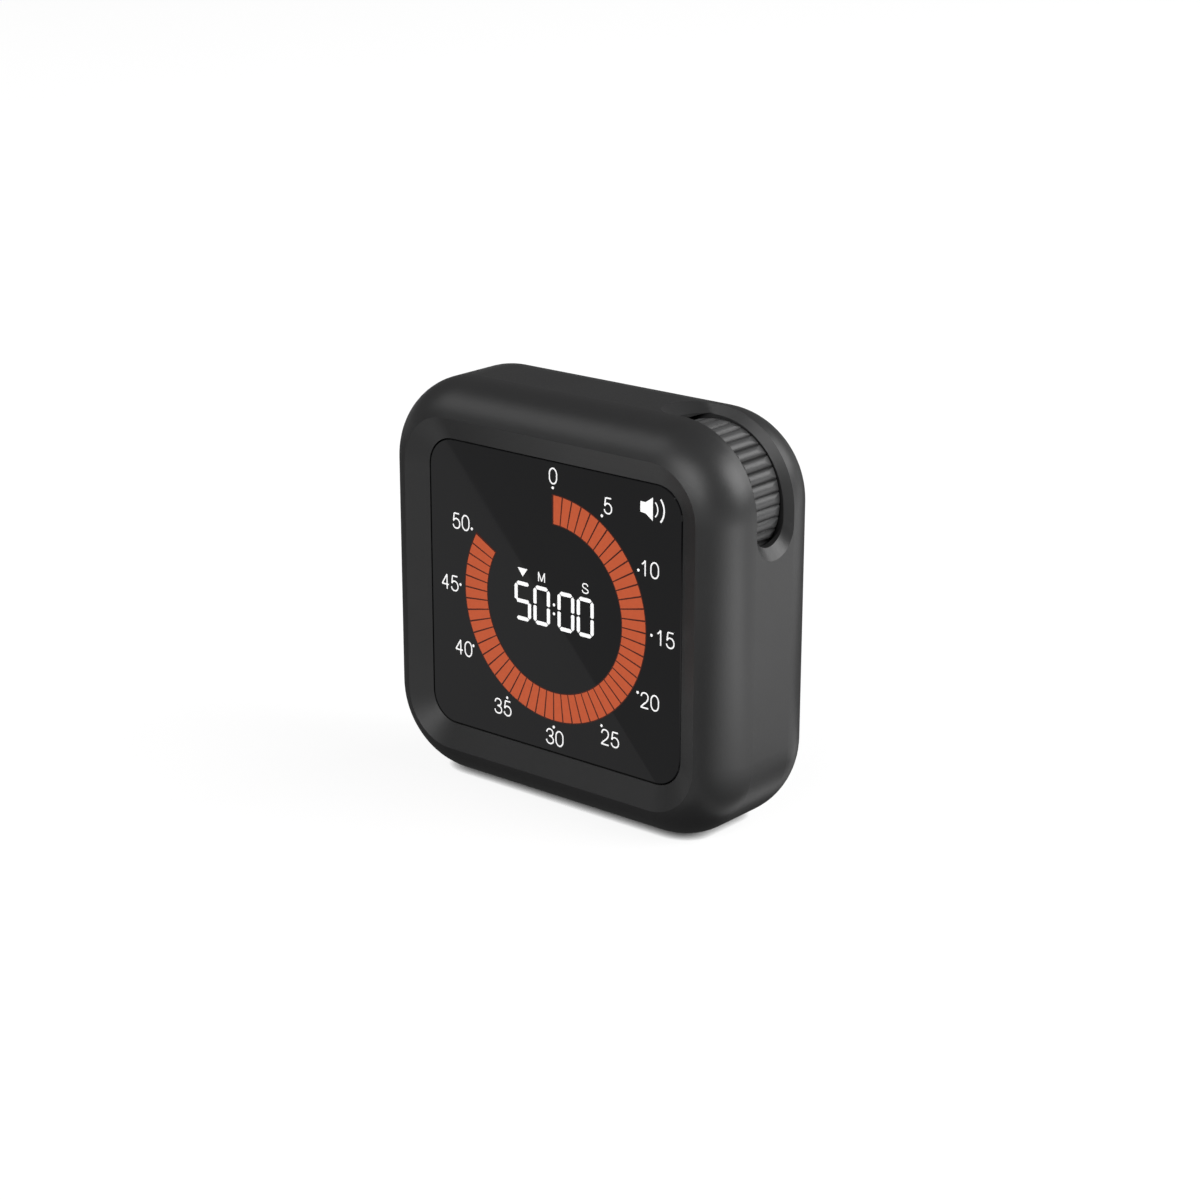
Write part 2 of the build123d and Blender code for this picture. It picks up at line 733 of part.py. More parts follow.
with BuildPart() as rear_cover:
    add(case_form.part)
    split(bisect_by=face_plane(seam_y), keep=Keep.BOTTOM)
    slab(lip_y, lip_height, core_width - 2 * lip_gap, core_height - 2 * lip_gap, core_radius - lip_gap)
    add(hollow_form.part, mode=Mode.SUBTRACT)
    discs(cover_posts, post_y, tube_end_y - post_y, post_radius)
    discs(encoder_posts, encoder_board_back_y, cover_y - encoder_board_back_y + overrun, small_post_radius)
    discs(rear_posts, rear_board_back_y, cover_y - rear_board_back_y + overrun, small_post_radius)
    # bay for the cells, hung from the cover on its two long walls
    trough(bay_floor_y - bay_wall, cover_y - bay_floor_y + bay_wall + overrun, bay_length + 2 * bay_wall,
           bay_height + 2 * bay_side_wall, bay_outer_bevel)
    trough(bay_floor_y, back_y - bay_floor_y + overrun, bay_length, bay_height, bay_bevel, Mode.SUBTRACT)
    # opening for the door, its end at the seam and the room under its tongues
    block(opening_x, door_z, bay_rim_y, back_y - bay_rim_y + overrun, opening_width, opening_height,
          Mode.SUBTRACT)
    block(door_end_x + door_end_width / 2, door_z, lip_y - overrun, back_y - lip_y + 2 * overrun,
          door_end_width, opening_height, Mode.SUBTRACT)
    block(opening_left_x + tongue_room / 2, door_z, bay_rim_y - tongue_wall_drop,
          tongue_wall_drop + overrun, tongue_room, opening_height, Mode.SUBTRACT)
    for cell_z in (upper_cell_z, lower_cell_z):
        block(bay_left_x - bay_wall / 2, cell_z, rear_board_y - contact_thickness - tail_gap,
              contact_thickness + 2 * tail_gap, bay_wall + 2 * tail_gap, tail_width + 2 * tail_gap,
              Mode.SUBTRACT)
    discs(cover_posts, post_y - overrun, back_y - post_y + 2 * overrun, screw_radius + head_gap,
          Mode.SUBTRACT)
    discs(cover_posts, screw_seat_y, back_y - screw_seat_y + overrun, screw_head_radius + head_gap,
          Mode.SUBTRACT)
    pilot_depth = small_screw_length - board_thickness + tail_gap
    for places, pilot_y in ((encoder_posts, encoder_board_back_y), (rear_posts, rear_board_back_y)):
        discs(places, pilot_y - overrun, pilot_depth + overrun, small_screw_radius + screw_fit, Mode.SUBTRACT)
    block(rear_board_x, switch_z, back_y - pocket_depth, pocket_depth + overrun, pocket_width,
          pocket_length, Mode.SUBTRACT)
    block(rear_board_x, switch_z, cover_y - overrun, cover_wall + 2 * overrun, slot_width, slide_length,
          Mode.SUBTRACT)
    with BuildSketch(face_plane(cover_y - overrun, rear_board_x, buzzer_z)) as sound_holes:
        Circle(sound_hole_radius)
        with PolarLocations(sound_ring_radius, sound_hole_count):
            Circle(sound_hole_radius)
    extrude(sound_holes.sketch, amount=-cover_wall - 2 * overrun, mode=Mode.SUBTRACT)
rear_cover.part.label = "rear_cover"
export_step(rear_cover.part, "parts/rear_cover.step")

with BuildPart() as cover_screws:
    discs(cover_posts, screw_seat_y, screw_head, screw_head_radius)
    discs(cover_posts, screw_tip_y, screw_length, screw_radius)
    crosses(cover_posts, screw_seat_y + screw_head)
cover_screws.part.label = "cover_screws"
export_step(cover_screws.part, "parts/cover_screws.step")

# Battery door: a skin of the case's own form, with an end that turns down to the seam
door_end_y = seam_y + door_gap
end_skin_x = door_end_x + door_gap
with BuildPart() as door_envelope:
    for skin_x, skin_y in ((door_left_x, cover_y), (end_skin_x, door_end_y)):
        block((skin_x + case_width / 2) / 2, door_z, skin_y, back_y - skin_y, case_width / 2 - skin_x,
              door_height)
tongue_y = cover_y - tongue_gap - tongue_thickness
tongue_right_x = bay_left_x - bay_wall - tongue_gap
tab_x = end_skin_x + tab_gap + tab_thickness / 2
with BuildPart() as battery_door:
    add(case_form.part)
    add(door_envelope.part, mode=Mode.INTERSECT)
    for tongue_side in (-1, 1):
        tongue_z = door_z + tongue_side * tongue_spacing / 2
        block((door_left_x - tongue_length + tongue_right_x) / 2, tongue_z, tongue_y, tongue_thickness,
              tongue_right_x - door_left_x + tongue_length, tongue_width)
        block((door_left_x + tongue_right_x) / 2, tongue_z, tongue_y, cover_y - tongue_y + tongue_gap,
              tongue_right_x - door_left_x, tongue_width)
    block(tab_x, door_z, door_end_y - tab_length, tab_length + tab_thickness, tab_thickness, tab_width)
    add(notch_form.part, mode=Mode.SUBTRACT)
battery_door.part.label = "battery_door"
export_step(battery_door.part, "parts/battery_door.step")

# Foam pad that steadies the cells
with BuildPart() as door_pad:
    block(bay_x, door_z, cover_y - pad_thickness, pad_thickness, bay_length - 2 * pad_margin,
          bay_height - 2 * pad_margin)
door_pad.part.label = "door_pad"
export_step(door_pad.part, "parts/door_pad.step")

# Two cells, head to tail, each resting its cap on a plate and its base on a leaf
leaf_reach = bay_length - cell_length - 2 * contact_thickness
leaf_left_x = bay_left_x + contact_thickness
leaf_right_x = bay_right_x - contact_thickness
cell_planes = [
    Plane(origin=(leaf_left_x + leaf_reach, cell_y, upper_cell_z), x_dir=(0, 1, 0), z_dir=(1, 0, 0)),
    Plane(origin=(leaf_right_x - leaf_reach, cell_y, lower_cell_z), x_dir=(0, 1, 0), z_dir=(-1, 0, 0)),
]
with BuildPart() as battery_cells:
    for cell_plane in cell_planes:
        with BuildSketch(cell_plane) as can:
            Circle(cell_radius)
        extrude(can.sketch, amount=cell_body)
    chamfer(battery_cells.edges().filter_by(GeomType.CIRCLE), cell_edge)
    for cell_plane in cell_planes:
        with BuildSketch(cell_plane.offset(cell_body)) as cap:
            Circle(nub_radius)
        extrude(cap.sketch, amount=nub_length)
battery_cells.part.label = "battery_cells"
export_step(battery_cells.part, "parts/battery_cells.step")


def leaf(base_x, z, reach):
    """Add a bowed contact leaf that stands on a plate at base_x and reaches to a cell's base."""
    inner_reach = reach - contact_thickness if reach > 0 else reach + contact_thickness
    half = leaf_height / 2
    inner_half = half - contact_thickness
    with BuildSketch(Plane.XY.offset(z - leaf_width / 2)) as bow:
        with BuildLine():
            ThreePointArc((base_x, cell_y - half), (base_x + reach, cell_y), (base_x, cell_y + half))
            Line((base_x, cell_y + half), (base_x, cell_y + inner_half))
            ThreePointArc((base_x, cell_y + inner_half), (base_x + inner_reach, cell_y),
                          (base_x, cell_y - inner_half))
            Line((base_x, cell_y - inner_half), (base_x, cell_y - half))
        make_face()
    extrude(bow.sketch, amount=leaf_width)


def plate(x, z, height):
    """Add a contact plate on an end wall of the bay."""
    block(x, z, cell_y - contact_height / 2, contact_height, contact_thickness, height)


def tail(z):
    """Add the strip that runs from a plate through the bay's wall to the rear board."""
    block((tail_left_x + tail_right_x) / 2, z, rear_board_y - contact_thickness, contact_thickness,
          tail_right_x - tail_left_x, tail_width)


with BuildPart() as negative_contact:
    plate(bay_left_x + contact_thickness / 2, upper_cell_z, contact_width)
    leaf(leaf_left_x, upper_cell_z, leaf_reach)
    tail(upper_cell_z)
negative_contact.part.label = "negative_contact"
export_step(negative_contact.part, "parts/negative_contact.step")

with BuildPart() as positive_contact:
    plate(bay_left_x + contact_thickness / 2, lower_cell_z, contact_width)
    tail(lower_cell_z)
positive_contact.part.label = "positive_contact"
export_step(positive_contact.part, "parts/positive_contact.step")

with BuildPart() as battery_bridge:
    plate(bay_right_x - contact_thickness / 2, door_z, cell_spacing + contact_width)
    leaf(leaf_right_x, lower_cell_z, -leaf_reach)
battery_bridge.part.label = "battery_bridge"
export_step(battery_bridge.part, "parts/battery_bridge.step")

# Rear board with the volume switch and the buzzer
with BuildPart() as rear_board:
    block(rear_board_x, display_z, rear_board_y, board_thickness, rear_board_width, rear_board_height)
    discs(rear_posts, rear_board_y - overrun, board_thickness + 2 * overrun, small_screw_radius + screw_fit,
          Mode.SUBTRACT)
rear_board.part.label = "rear_board"
export_step(rear_board.part, "parts/rear_board.step")

with BuildPart() as rear_board_screws:
    discs(rear_posts, rear_board_y - small_screw_head, small_screw_head, small_screw_head_radius)
    discs(rear_posts, rear_board_y, small_screw_length, small_screw_radius)
    crosses(rear_posts, rear_board_y - small_screw_head, -recess_depth)
rear_board_screws.part.label = "rear_board_screws"
export_step(rear_board_screws.part, "parts/rear_board_screws.step")

with BuildPart() as volume_switch:
    block(rear_board_x, switch_z, rear_board_back_y, switch_height, switch_width, switch_length)
    block(rear_board_x, switch_z, cover_y - switch_cavity, switch_cavity + overrun, slot_width,
          slide_length, Mode.SUBTRACT)
volume_switch.part.label = "volume_switch"
export_step(volume_switch.part, "parts/volume_switch.step")

# Slider: a ribbed pad in the cover's pocket on a stem that reaches into the switch
pad_y = back_y - pocket_depth + knob_lift
pad_top_y = back_y - knob_sink - knob_rib_height
with BuildPart() as volume_slider:
    block(rear_board_x, switch_z, pad_y, pad_top_y - pad_y, knob_width, knob_length)
    with BuildSketch(face_plane(pad_top_y, rear_board_x, switch_z)) as ribs:
        with GridLocations(0, knob_rib_spacing, 1, knob_rib_count):
            Rectangle(knob_width, knob_rib)
    extrude(ribs.sketch, amount=-knob_rib_height)
    block(rear_board_x, switch_z, cover_y - stem_reach, pad_y - cover_y + stem_reach, stem_width,
          stem_length)
volume_slider.part.label = "volume_slider"
export_step(volume_slider.part, "parts/volume_slider.step")

with BuildPart() as buzzer:
    discs([(rear_board_x, buzzer_z)], rear_board_back_y, buzzer_height, buzzer_radius)
    discs([(rear_board_x, buzzer_z)], rear_board_back_y + buzzer_height - buzzer_port_depth,
          buzzer_port_depth + overrun, buzzer_port_radius, Mode.SUBTRACT)
buzzer.part.label = "buzzer"
export_step(buzzer.part, "parts/buzzer.step")


def ribbon_path(x, step, far_y):
    """Corners of a flat lead's path from the main board to another board, with one sideways step."""
    turn_rise = (far_y - board_back_y) * ribbon_turn_share
    return [
        (x, board_back_y),
        (x, board_back_y + turn_rise),
        (x - step, far_y - turn_rise),
        (x - step, far_y),
    ]


with BuildPart() as board_ribbon:
    with BuildSketch(Plane.XY.offset(display_z + ribbon_z - ribbon_width / 2)):
        with BuildLine():
            FilletPolyline(*ribbon_path(ribbon_x, ribbon_step, rear_board_y), radius=ribbon_bend)
        trace(line_width=ribbon_thickness)
    extrude(amount=ribbon_width)
board_ribbon.part.label = "board_ribbon"
export_step(board_ribbon.part, "parts/board_ribbon.step")

with BuildPart() as encoder_ribbon:
    with BuildSketch(Plane.XY.offset(encoder_board_z - ribbon_width / 2)):
        with BuildLine():
            FilletPolyline(*ribbon_path(encoder_left_x, encoder_ribbon_step, encoder_board_y),
                           radius=encoder_ribbon_bend)
        trace(line_width=ribbon_thickness)
    extrude(amount=ribbon_width)
encoder_ribbon.part.label = "encoder_ribbon"
export_step(encoder_ribbon.part, "parts/encoder_ribbon.step")
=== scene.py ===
"""Digital timer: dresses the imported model, draws its display and sets it on a white floor."""

import logging
import math
from dataclasses import dataclass, field
from enum import Enum
from typing import Sequence

import bmesh
import bpy
from mathutils import Matrix, Vector


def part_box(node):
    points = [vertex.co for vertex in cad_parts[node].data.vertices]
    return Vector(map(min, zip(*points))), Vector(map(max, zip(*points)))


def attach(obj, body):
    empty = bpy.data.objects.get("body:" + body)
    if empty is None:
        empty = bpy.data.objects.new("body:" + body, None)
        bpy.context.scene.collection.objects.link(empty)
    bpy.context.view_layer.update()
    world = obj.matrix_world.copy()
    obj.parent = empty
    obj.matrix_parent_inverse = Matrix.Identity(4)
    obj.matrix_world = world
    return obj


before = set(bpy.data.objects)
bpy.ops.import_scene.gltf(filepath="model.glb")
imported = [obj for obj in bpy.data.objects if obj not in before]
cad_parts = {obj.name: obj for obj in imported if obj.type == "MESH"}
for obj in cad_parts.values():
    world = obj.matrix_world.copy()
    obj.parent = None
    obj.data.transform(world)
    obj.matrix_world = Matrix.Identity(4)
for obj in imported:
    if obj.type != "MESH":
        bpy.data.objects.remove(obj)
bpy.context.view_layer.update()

LOG = logging.getLogger("timer")
MM = 0.001
Colour = tuple[float, float, float]
Outline = tuple[tuple[float, float], ...]
Socket = bpy.types.NodeSocket
BLACK = (0, 0, 0, 1)
WHITE = (1, 1, 1, 1)
CLOUDY = 3.0  # octaves of noise for clouds, haze and wear
WAVE_SCALE = math.pi / 10.0  # scale at which Blender's wave texture has one band a metre


class Body(Enum):
    """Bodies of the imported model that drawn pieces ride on."""

    CASE = "case"


class Along(Enum):
    """Axes that stripes and marks follow."""

    X = "X"
    Y = "Y"
    Z = "Z"

    def stretch(self, share: float) -> tuple[float, float, float]:
        """Give the scale that draws a grain out along this axis."""
        return tuple(share if name == self.value else 1.0 for name in "XYZ")


class Nodes:
    """Short way to add and join shader nodes in one material."""

    def __init__(self, name: str) -> None:
        """Start an empty material.

        Args:
            name: name of the material.
        """
        self.material = bpy.data.materials.new(name)
        self.material.use_nodes = True
        self.tree = self.material.node_tree
        self.tree.nodes.clear()
        self.output = self.add("ShaderNodeOutputMaterial")
        self.place = self.add("ShaderNodeTexCoord").outputs["Object"]

    def add(self, kind: str, **values: object) -> bpy.types.Node:
        """Add a node.

        Args:
            kind: Blender's name of the node type.
            values: properties of the node, or its input sockets by name with _ for a space.

        Returns:
            The new node.
        """
        node = self.tree.nodes.new(kind)
        for key, value in values.items():
            if hasattr(node, key):
                setattr(node, key, value)
            else:
                node.inputs[key.replace("_", " ")].default_value = value
        return node

    def join(self, start: Socket, end: Socket) -> None:
        """Link two sockets."""
        self.tree.links.new(start, end)

    def noise(self, grain: float, detail: float = 2.0, stretch: Sequence[float] = (1, 1, 1)) -> Socket:
        """Add noise on the piece's own coordinates.

        Args:
            grain: size of one grain in metres.
            detail: octaves of the noise.
            stretch: scale of the coordinates on each axis.

        Returns:
            The socket with the noise.
        """
        mapping = self.add("ShaderNodeMapping", Scale=stretch)
        self.join(self.place, mapping.inputs["Vector"])
        noise = self.add("ShaderNodeTexNoise", Scale=1.0 / grain, Detail=detail)
        self.join(mapping.outputs["Vector"], noise.inputs["Vector"])
        return noise.outputs["Fac"]

    def bands(self, pitch: float, along: Along) -> Socket:
        """Add even bands across one axis.

        Args:
            pitch: distance from band to band in metres.
            along: the axis that the bands follow each other on.

        Returns:
            The socket with the bands, from 0 to 1.
        """
        wave = self.add("ShaderNodeTexWave", bands_direction=along.value, Scale=WAVE_SCALE / pitch)
        self.join(self.place, wave.inputs["Vector"])
        return wave.outputs["Fac"]

    def cells(self, size: float) -> Socket:
        """Add round cells.

        Args:
            size: size of one cell in metres.

        Returns:
            The socket with the distance from the middle of a cell.
        """
        voronoi = self.add("ShaderNodeTexVoronoi", Scale=1.0 / size)
        self.join(self.place, voronoi.inputs["Vector"])
        return voronoi.outputs["Distance"]

    def sum(self, operation: str, first: Socket, second: Socket | float) -> Socket:
        """Work out a number from two others.

        Args:
            operation: Blender's name of the operation.
            first: socket with the first number.
            second: socket with the second number, or the number.

        Returns:
            The socket with the result.
        """
        node = self.add("ShaderNodeMath", operation=operation)
        self.join(first, node.inputs[0])
        if isinstance(second, Socket):
            self.join(second, node.inputs[1])
        else:
            node.inputs[1].default_value = second
        return node.outputs["Value"]

    def axis(self, along: Along) -> Socket:
        """Split off the place along one axis.

        Args:
            along: the axis.

        Returns:
            The socket with the place in metres.
        """
        split = self.add("ShaderNodeSeparateXYZ")
        self.join(self.place, split.inputs["Vector"])
        return split.outputs[along.value]

    def ramp(self, factor: Socket, low: Sequence[float], high: Sequence[float],
             start: float = 0.3, end: float = 0.7) -> Socket:
        """Spread a factor between two colours.

        Args:
            factor: socket with the factor.
            low: colour at the start.
            high: colour at the end.
            start: factor where the low colour ends.
            end: factor where the high colour begins.

        Returns:
            The colour socket.
        """
        ramp = self.add("ShaderNodeValToRGB")
        stops = ramp.color_ramp.elements
        stops[0].position, stops[0].color = start, (*low, 1)
        stops[1].position, stops[1].color = end, (*high, 1)
        self.join(factor, ramp.inputs["Fac"])
        return ramp.outputs["Color"]

    def mix(self, factor: Socket, low: Socket, high: Socket) -> Socket:
        """Mix two colours.

        Args:
            factor: socket with the share of the second colour.
            low: socket with the first colour.
            high: socket with the second colour.

        Returns:
            The colour socket.
        """
        node = self.add("ShaderNodeMix", data_type="RGBA")
        self.join(factor, node.inputs["Factor"])
        self.join(low, node.inputs["A"])
        self.join(high, node.inputs["B"])
        return node.outputs["Result"]

    def spread(self, factor: Socket, low: float, high: float, start: float = 0.3, end: float = 0.7) -> Socket:
        """Map a factor onto a range.

        Args:
            factor: socket with the factor.
            low: value at the start.
            high: value at the end.
            start: factor that gives the low value.
            end: factor that gives the high value.

        Returns:
            The socket with the mapped value.
        """
        mapped = self.add("ShaderNodeMapRange", From_Min=start, From_Max=end, To_Min=low, To_Max=high)
        self.join(factor, mapped.inputs["Value"])
        return mapped.outputs["Result"]

    def bump(self, height: Socket, depth: float) -> Socket:
        """Turn a height into a normal.

        Args:
            height: socket with the height from 0 to 1.
            depth: depth of the relief in metres.

        Returns:
            The normal socket.
        """
        bump = self.add("ShaderNodeBump", Strength=1.0, Distance=depth)
        self.join(height, bump.inputs["Height"])
        return bump.outputs["Normal"]

    def surface(self, **values: object) -> bpy.types.Node:
        """Add the main shader and join it to the output.

        Args:
            values: its sockets by name with _ for a space.

        Returns:
            The shader node.
        """
        shader = self.add("ShaderNodeBsdfPrincipled", **values)
        self.join(shader.outputs["BSDF"], self.output.inputs["Surface"])
        return shader


def shaded(colour: Sequence[float], share: float) -> list[float]:
    """Give a colour made lighter or darker by a share."""
    return [part * share for part in colour]


@dataclass(frozen=True)
class Moulded:
    """Moulded plastic with a fine grain and a faint unevenness of colour and gloss."""

    name: str
    colour: Colour
    roughness: float = 0.45
    specular: float = 0.3
    mottle: float = 0.05
    grain: float = 0.3 * MM
    grain_depth: float = 0.008 * MM
    patch: float = 9.0 * MM
    gloss_range: float = 0.03

    def tint(self, nodes: Nodes, shade: float = 1.0) -> Socket:
        """Mix the uneven colour.

        Args:
            nodes: the nodes of the material.
            shade: share of the colour's lightness.

        Returns:
            The colour socket.
        """
        cloud = nodes.noise(self.patch, CLOUDY)
        low, high = shade * (1 - self.mottle), shade * (1 + self.mottle)
        return nodes.ramp(cloud, shaded(self.colour, low), shaded(self.colour, high))

    def material(self) -> bpy.types.Material:
        """Build the material.

        Returns:
            The material.
        """
        nodes = Nodes(self.name)
        shader = nodes.surface(Specular_IOR_Level=self.specular)
        nodes.join(self.tint(nodes), shader.inputs["Base Color"])
        fine = nodes.noise(self.grain)
        gloss = nodes.spread(fine, self.roughness - self.gloss_range, self.roughness + self.gloss_range)
        nodes.join(gloss, shader.inputs["Roughness"])
        nodes.join(nodes.bump(fine, self.grain_depth), shader.inputs["Normal"])
        return nodes.material


@dataclass(frozen=True)
class Scalloped(Moulded):
    """Moulded plastic of a wheel, with painted shade that darkens its scallops towards their roots."""

    node: str = "thumbwheel"
    scallop: float = 0.5 * MM
    dark_share: float = 0.65
    light_share: float = 0.1
    root_shade: float = 0.15

    def tint(self, nodes: Nodes, shade: float = 1.0) -> Socket:
        """Darken the colour towards the roots of the scallops, as painted shade.

        Args:
            nodes: the nodes of the material.
            shade: share of the colour's lightness on the ridges.

        Returns:
            The colour socket.
        """
        low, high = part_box(self.node)
        middle, ridge = (low + high) / 2, (high.x - low.x) / 2
        mapping = nodes.add("ShaderNodeMapping", Location=(-middle.x, 0, -middle.z), Scale=(1, 0, 1))
        nodes.join(nodes.place, mapping.inputs["Vector"])
        radius = nodes.add("ShaderNodeVectorMath", operation="LENGTH")
        nodes.join(mapping.outputs["Vector"], radius.inputs["Vector"])
        # painted shade: the tint darkens from the ridges of the scallops towards their roots
        dark, light = ridge - self.scallop * self.dark_share, ridge - self.scallop * self.light_share
        unshaded_share = nodes.spread(radius.outputs["Value"], 0, 1, dark, light)
        return nodes.mix(unshaded_share, super().tint(nodes, shade * self.root_shade), super().tint(nodes, shade))


@dataclass(frozen=True)
class Polished:
    """Polished tinted plastic or glass with faint wipe marks."""

    name: str
    colour: Colour
    roughness: float = 0.05
    specular: float = 0.25
    wipe: float = 14.0 * MM
    wipe_shade: float = 1.15
    wipe_gloss: float = 0.02

    def material(self) -> bpy.types.Material:
        """Build the material.

        Returns:
            The material.
        """
        nodes = Nodes(self.name)
        shader = nodes.surface(Specular_IOR_Level=self.specular)
        haze = nodes.noise(self.wipe, CLOUDY)
        tint = nodes.ramp(haze, self.colour, shaded(self.colour, self.wipe_shade))
        nodes.join(tint, shader.inputs["Base Color"])
        gloss = nodes.spread(haze, self.roughness, self.roughness + self.wipe_gloss)
        nodes.join(gloss, shader.inputs["Roughness"])
        return nodes.material


@dataclass(frozen=True)
class Metal:
    """Plated or drawn metal with fine marks along one axis."""

    name: str
    colour: Colour
    roughness: float = 0.32
    along: Along = Along.Y
    mark: float = 0.4 * MM
    mark_detail: float = 4.0
    mark_stretch: float = 0.08
    mark_shade: float = 0.84
    mark_depth: float = 0.004 * MM
    smoother: float = 0.08
    rougher: float = 0.1

    def material(self) -> bpy.types.Material:
        """Build the material.

        Returns:
            The material.
        """
        nodes = Nodes(self.name)
        shader = nodes.surface(Metallic=1.0)
        marks = nodes.noise(self.mark, self.mark_detail, self.along.stretch(self.mark_stretch))
        tint = nodes.ramp(marks, shaded(self.colour, self.mark_shade), self.colour)
        nodes.join(tint, shader.inputs["Base Color"])
        gloss = nodes.spread(marks, self.roughness - self.smoother, self.roughness + self.rougher)
        nodes.join(gloss, shader.inputs["Roughness"])
        nodes.join(nodes.bump(marks, self.mark_depth), shader.inputs["Normal"])
        return nodes.material


@dataclass(frozen=True)
class Foam:
    """Foam or foamed tape with open cells."""

    name: str
    colour: Colour
    cell: float = 0.5 * MM
    cell_depth: float = 0.15 * MM
    cell_edge: tuple[float, float] = (0.1, 0.6)
    pit_shade: float = 0.55
    rim_shade: float = 1.1
    roughness: float = 0.9
    specular: float = 0.1

    def material(self) -> bpy.types.Material:
        """Build the material.

        Returns:
            The material.
        """
        nodes = Nodes(self.name)
        shader = nodes.surface(Roughness=self.roughness, Specular_IOR_Level=self.specular)
        cells = nodes.cells(self.cell)
        pit, rim = shaded(self.colour, self.pit_shade), shaded(self.colour, self.rim_shade)
        nodes.join(nodes.ramp(cells, pit, rim, *self.cell_edge), shader.inputs["Base Color"])
        nodes.join(nodes.bump(cells, self.cell_depth), shader.inputs["Normal"])
        return nodes.material


@dataclass(frozen=True)
class Striped:
    """Even stripes along one axis, as in a contact strip or a flat cable."""

    name: str
    dark: Colour
    light: Colour
    pitch: float
    share: float = 0.5
    along: Along = Along.X
    roughness: float = 0.5
    specular: float = 0.3
    relief: float = 0.02 * MM
    edge: float = 0.08
    worn_grain: float = 1.5 * MM
    worn_dark: float = 1.2
    worn_light: float = 0.92
    wear_patch: float = 4.0 * MM
    most_wear: float = 0.12

    def material(self) -> bpy.types.Material:
        """Build the material.

        Returns:
            The material.
        """
        nodes = Nodes(self.name)
        shader = nodes.surface(Roughness=self.roughness, Specular_IOR_Level=self.specular)
        bands = nodes.bands(self.pitch, self.along)
        stripes = nodes.ramp(bands, self.dark, self.light, self.share - self.edge, self.share + self.edge)
        dark, light = shaded(self.dark, self.worn_dark), shaded(self.light, self.worn_light)
        worn = nodes.ramp(nodes.noise(self.worn_grain, CLOUDY), dark, light)
        wear = nodes.spread(nodes.noise(self.wear_patch), 0.0, self.most_wear)
        nodes.join(nodes.mix(wear, stripes, worn), shader.inputs["Base Color"])
        nodes.join(nodes.bump(bands, self.relief), shader.inputs["Normal"])
        return nodes.material


@dataclass(frozen=True)
class Laminate:
    """Circuit board under a lacquer, with tracks that run both ways and a faint weave."""

    name: str
    lacquer: Colour = (0.008, 0.06, 0.03)
    track: Colour = (0.03, 0.15, 0.07)
    pitch: float = 1.1 * MM
    track_edge: tuple[float, float] = (0.55, 0.7)
    track_grain: float = 2.0 * MM
    track_shade: float = 0.9
    track_depth: float = 0.03 * MM
    weave: float = 0.5 * MM
    weave_edge: tuple[float, float] = (0.2, 0.8)
    weave_shade: float = 1.2
    weave_gloss: tuple[float, float] = (0.3, 0.38)
    patch: float = 14.0 * MM
    patch_detail: float = 1.0
    patch_edge: tuple[float, float] = (0.49, 0.51)
    specular: float = 0.5

    def material(self) -> bpy.types.Material:
        """Build the material.

        Returns:
            The material.
        """
        nodes = Nodes(self.name)
        shader = nodes.surface(Specular_IOR_Level=self.specular)
        upright = nodes.spread(nodes.bands(self.pitch, Along.X), 0.0, 1.0, *self.track_edge)
        level = nodes.spread(nodes.bands(self.pitch, Along.Z), 0.0, 1.0, *self.track_edge)
        side = nodes.spread(nodes.noise(self.patch, self.patch_detail), 0.0, 1.0, *self.patch_edge)
        other = nodes.spread(side, 1.0, 0.0, 0.0, 1.0)
        tracks = nodes.sum("MAXIMUM", nodes.sum("MULTIPLY", upright, side),
                           nodes.sum("MULTIPLY", level, other))
        threads = nodes.sum("MULTIPLY", nodes.bands(self.weave, Along.X), nodes.bands(self.weave, Along.Z))
        ground = nodes.ramp(threads, self.lacquer, shaded(self.lacquer, self.weave_shade), *self.weave_edge)
        copper = nodes.ramp(nodes.noise(self.track_grain), shaded(self.track, self.track_shade), self.track)
        nodes.join(nodes.mix(tracks, ground, copper), shader.inputs["Base Color"])
        nodes.join(nodes.spread(threads, *self.weave_gloss, 0.0, 1.0), shader.inputs["Roughness"])
        nodes.join(nodes.bump(tracks, self.track_depth), shader.inputs["Normal"])
        return nodes.material


@dataclass(frozen=True)
class CellSleeve:
    """Dry cells in plain grey sleeves with bare steel ends."""

    name: str
    middle: float
    half: float
    cap: float = 1.2 * MM
    body: Colour = (0.3, 0.3, 0.31)
    steel: Colour = (0.55, 0.55, 0.54)
    shade: float = 0.85
    haze: float = 6.0 * MM
    scratch: float = 0.5 * MM
    gloss: tuple[float, float] = (0.24, 0.32)
    specular: float = 0.5

    def material(self) -> bpy.types.Material:
        """Build the material.

        Returns:
            The material.
        """
        nodes = Nodes(self.name)
        shader = nodes.surface(Specular_IOR_Level=self.specular)
        along = nodes.sum("SUBTRACT", nodes.axis(Along.X), self.middle)
        ends = nodes.sum("GREATER_THAN", nodes.sum("ABSOLUTE", along, 0.0), self.half - self.cap)
        haze = nodes.noise(self.haze, CLOUDY)
        scratches = nodes.noise(self.scratch, CLOUDY)
        sleeve = nodes.ramp(haze, shaded(self.body, self.shade), self.body)
        bare = nodes.ramp(scratches, shaded(self.steel, self.shade), self.steel)
        nodes.join(nodes.mix(ends, sleeve, bare), shader.inputs["Base Color"])
        nodes.join(ends, shader.inputs["Metallic"])
        nodes.join(nodes.spread(haze, *self.gloss), shader.inputs["Roughness"])
        return nodes.material


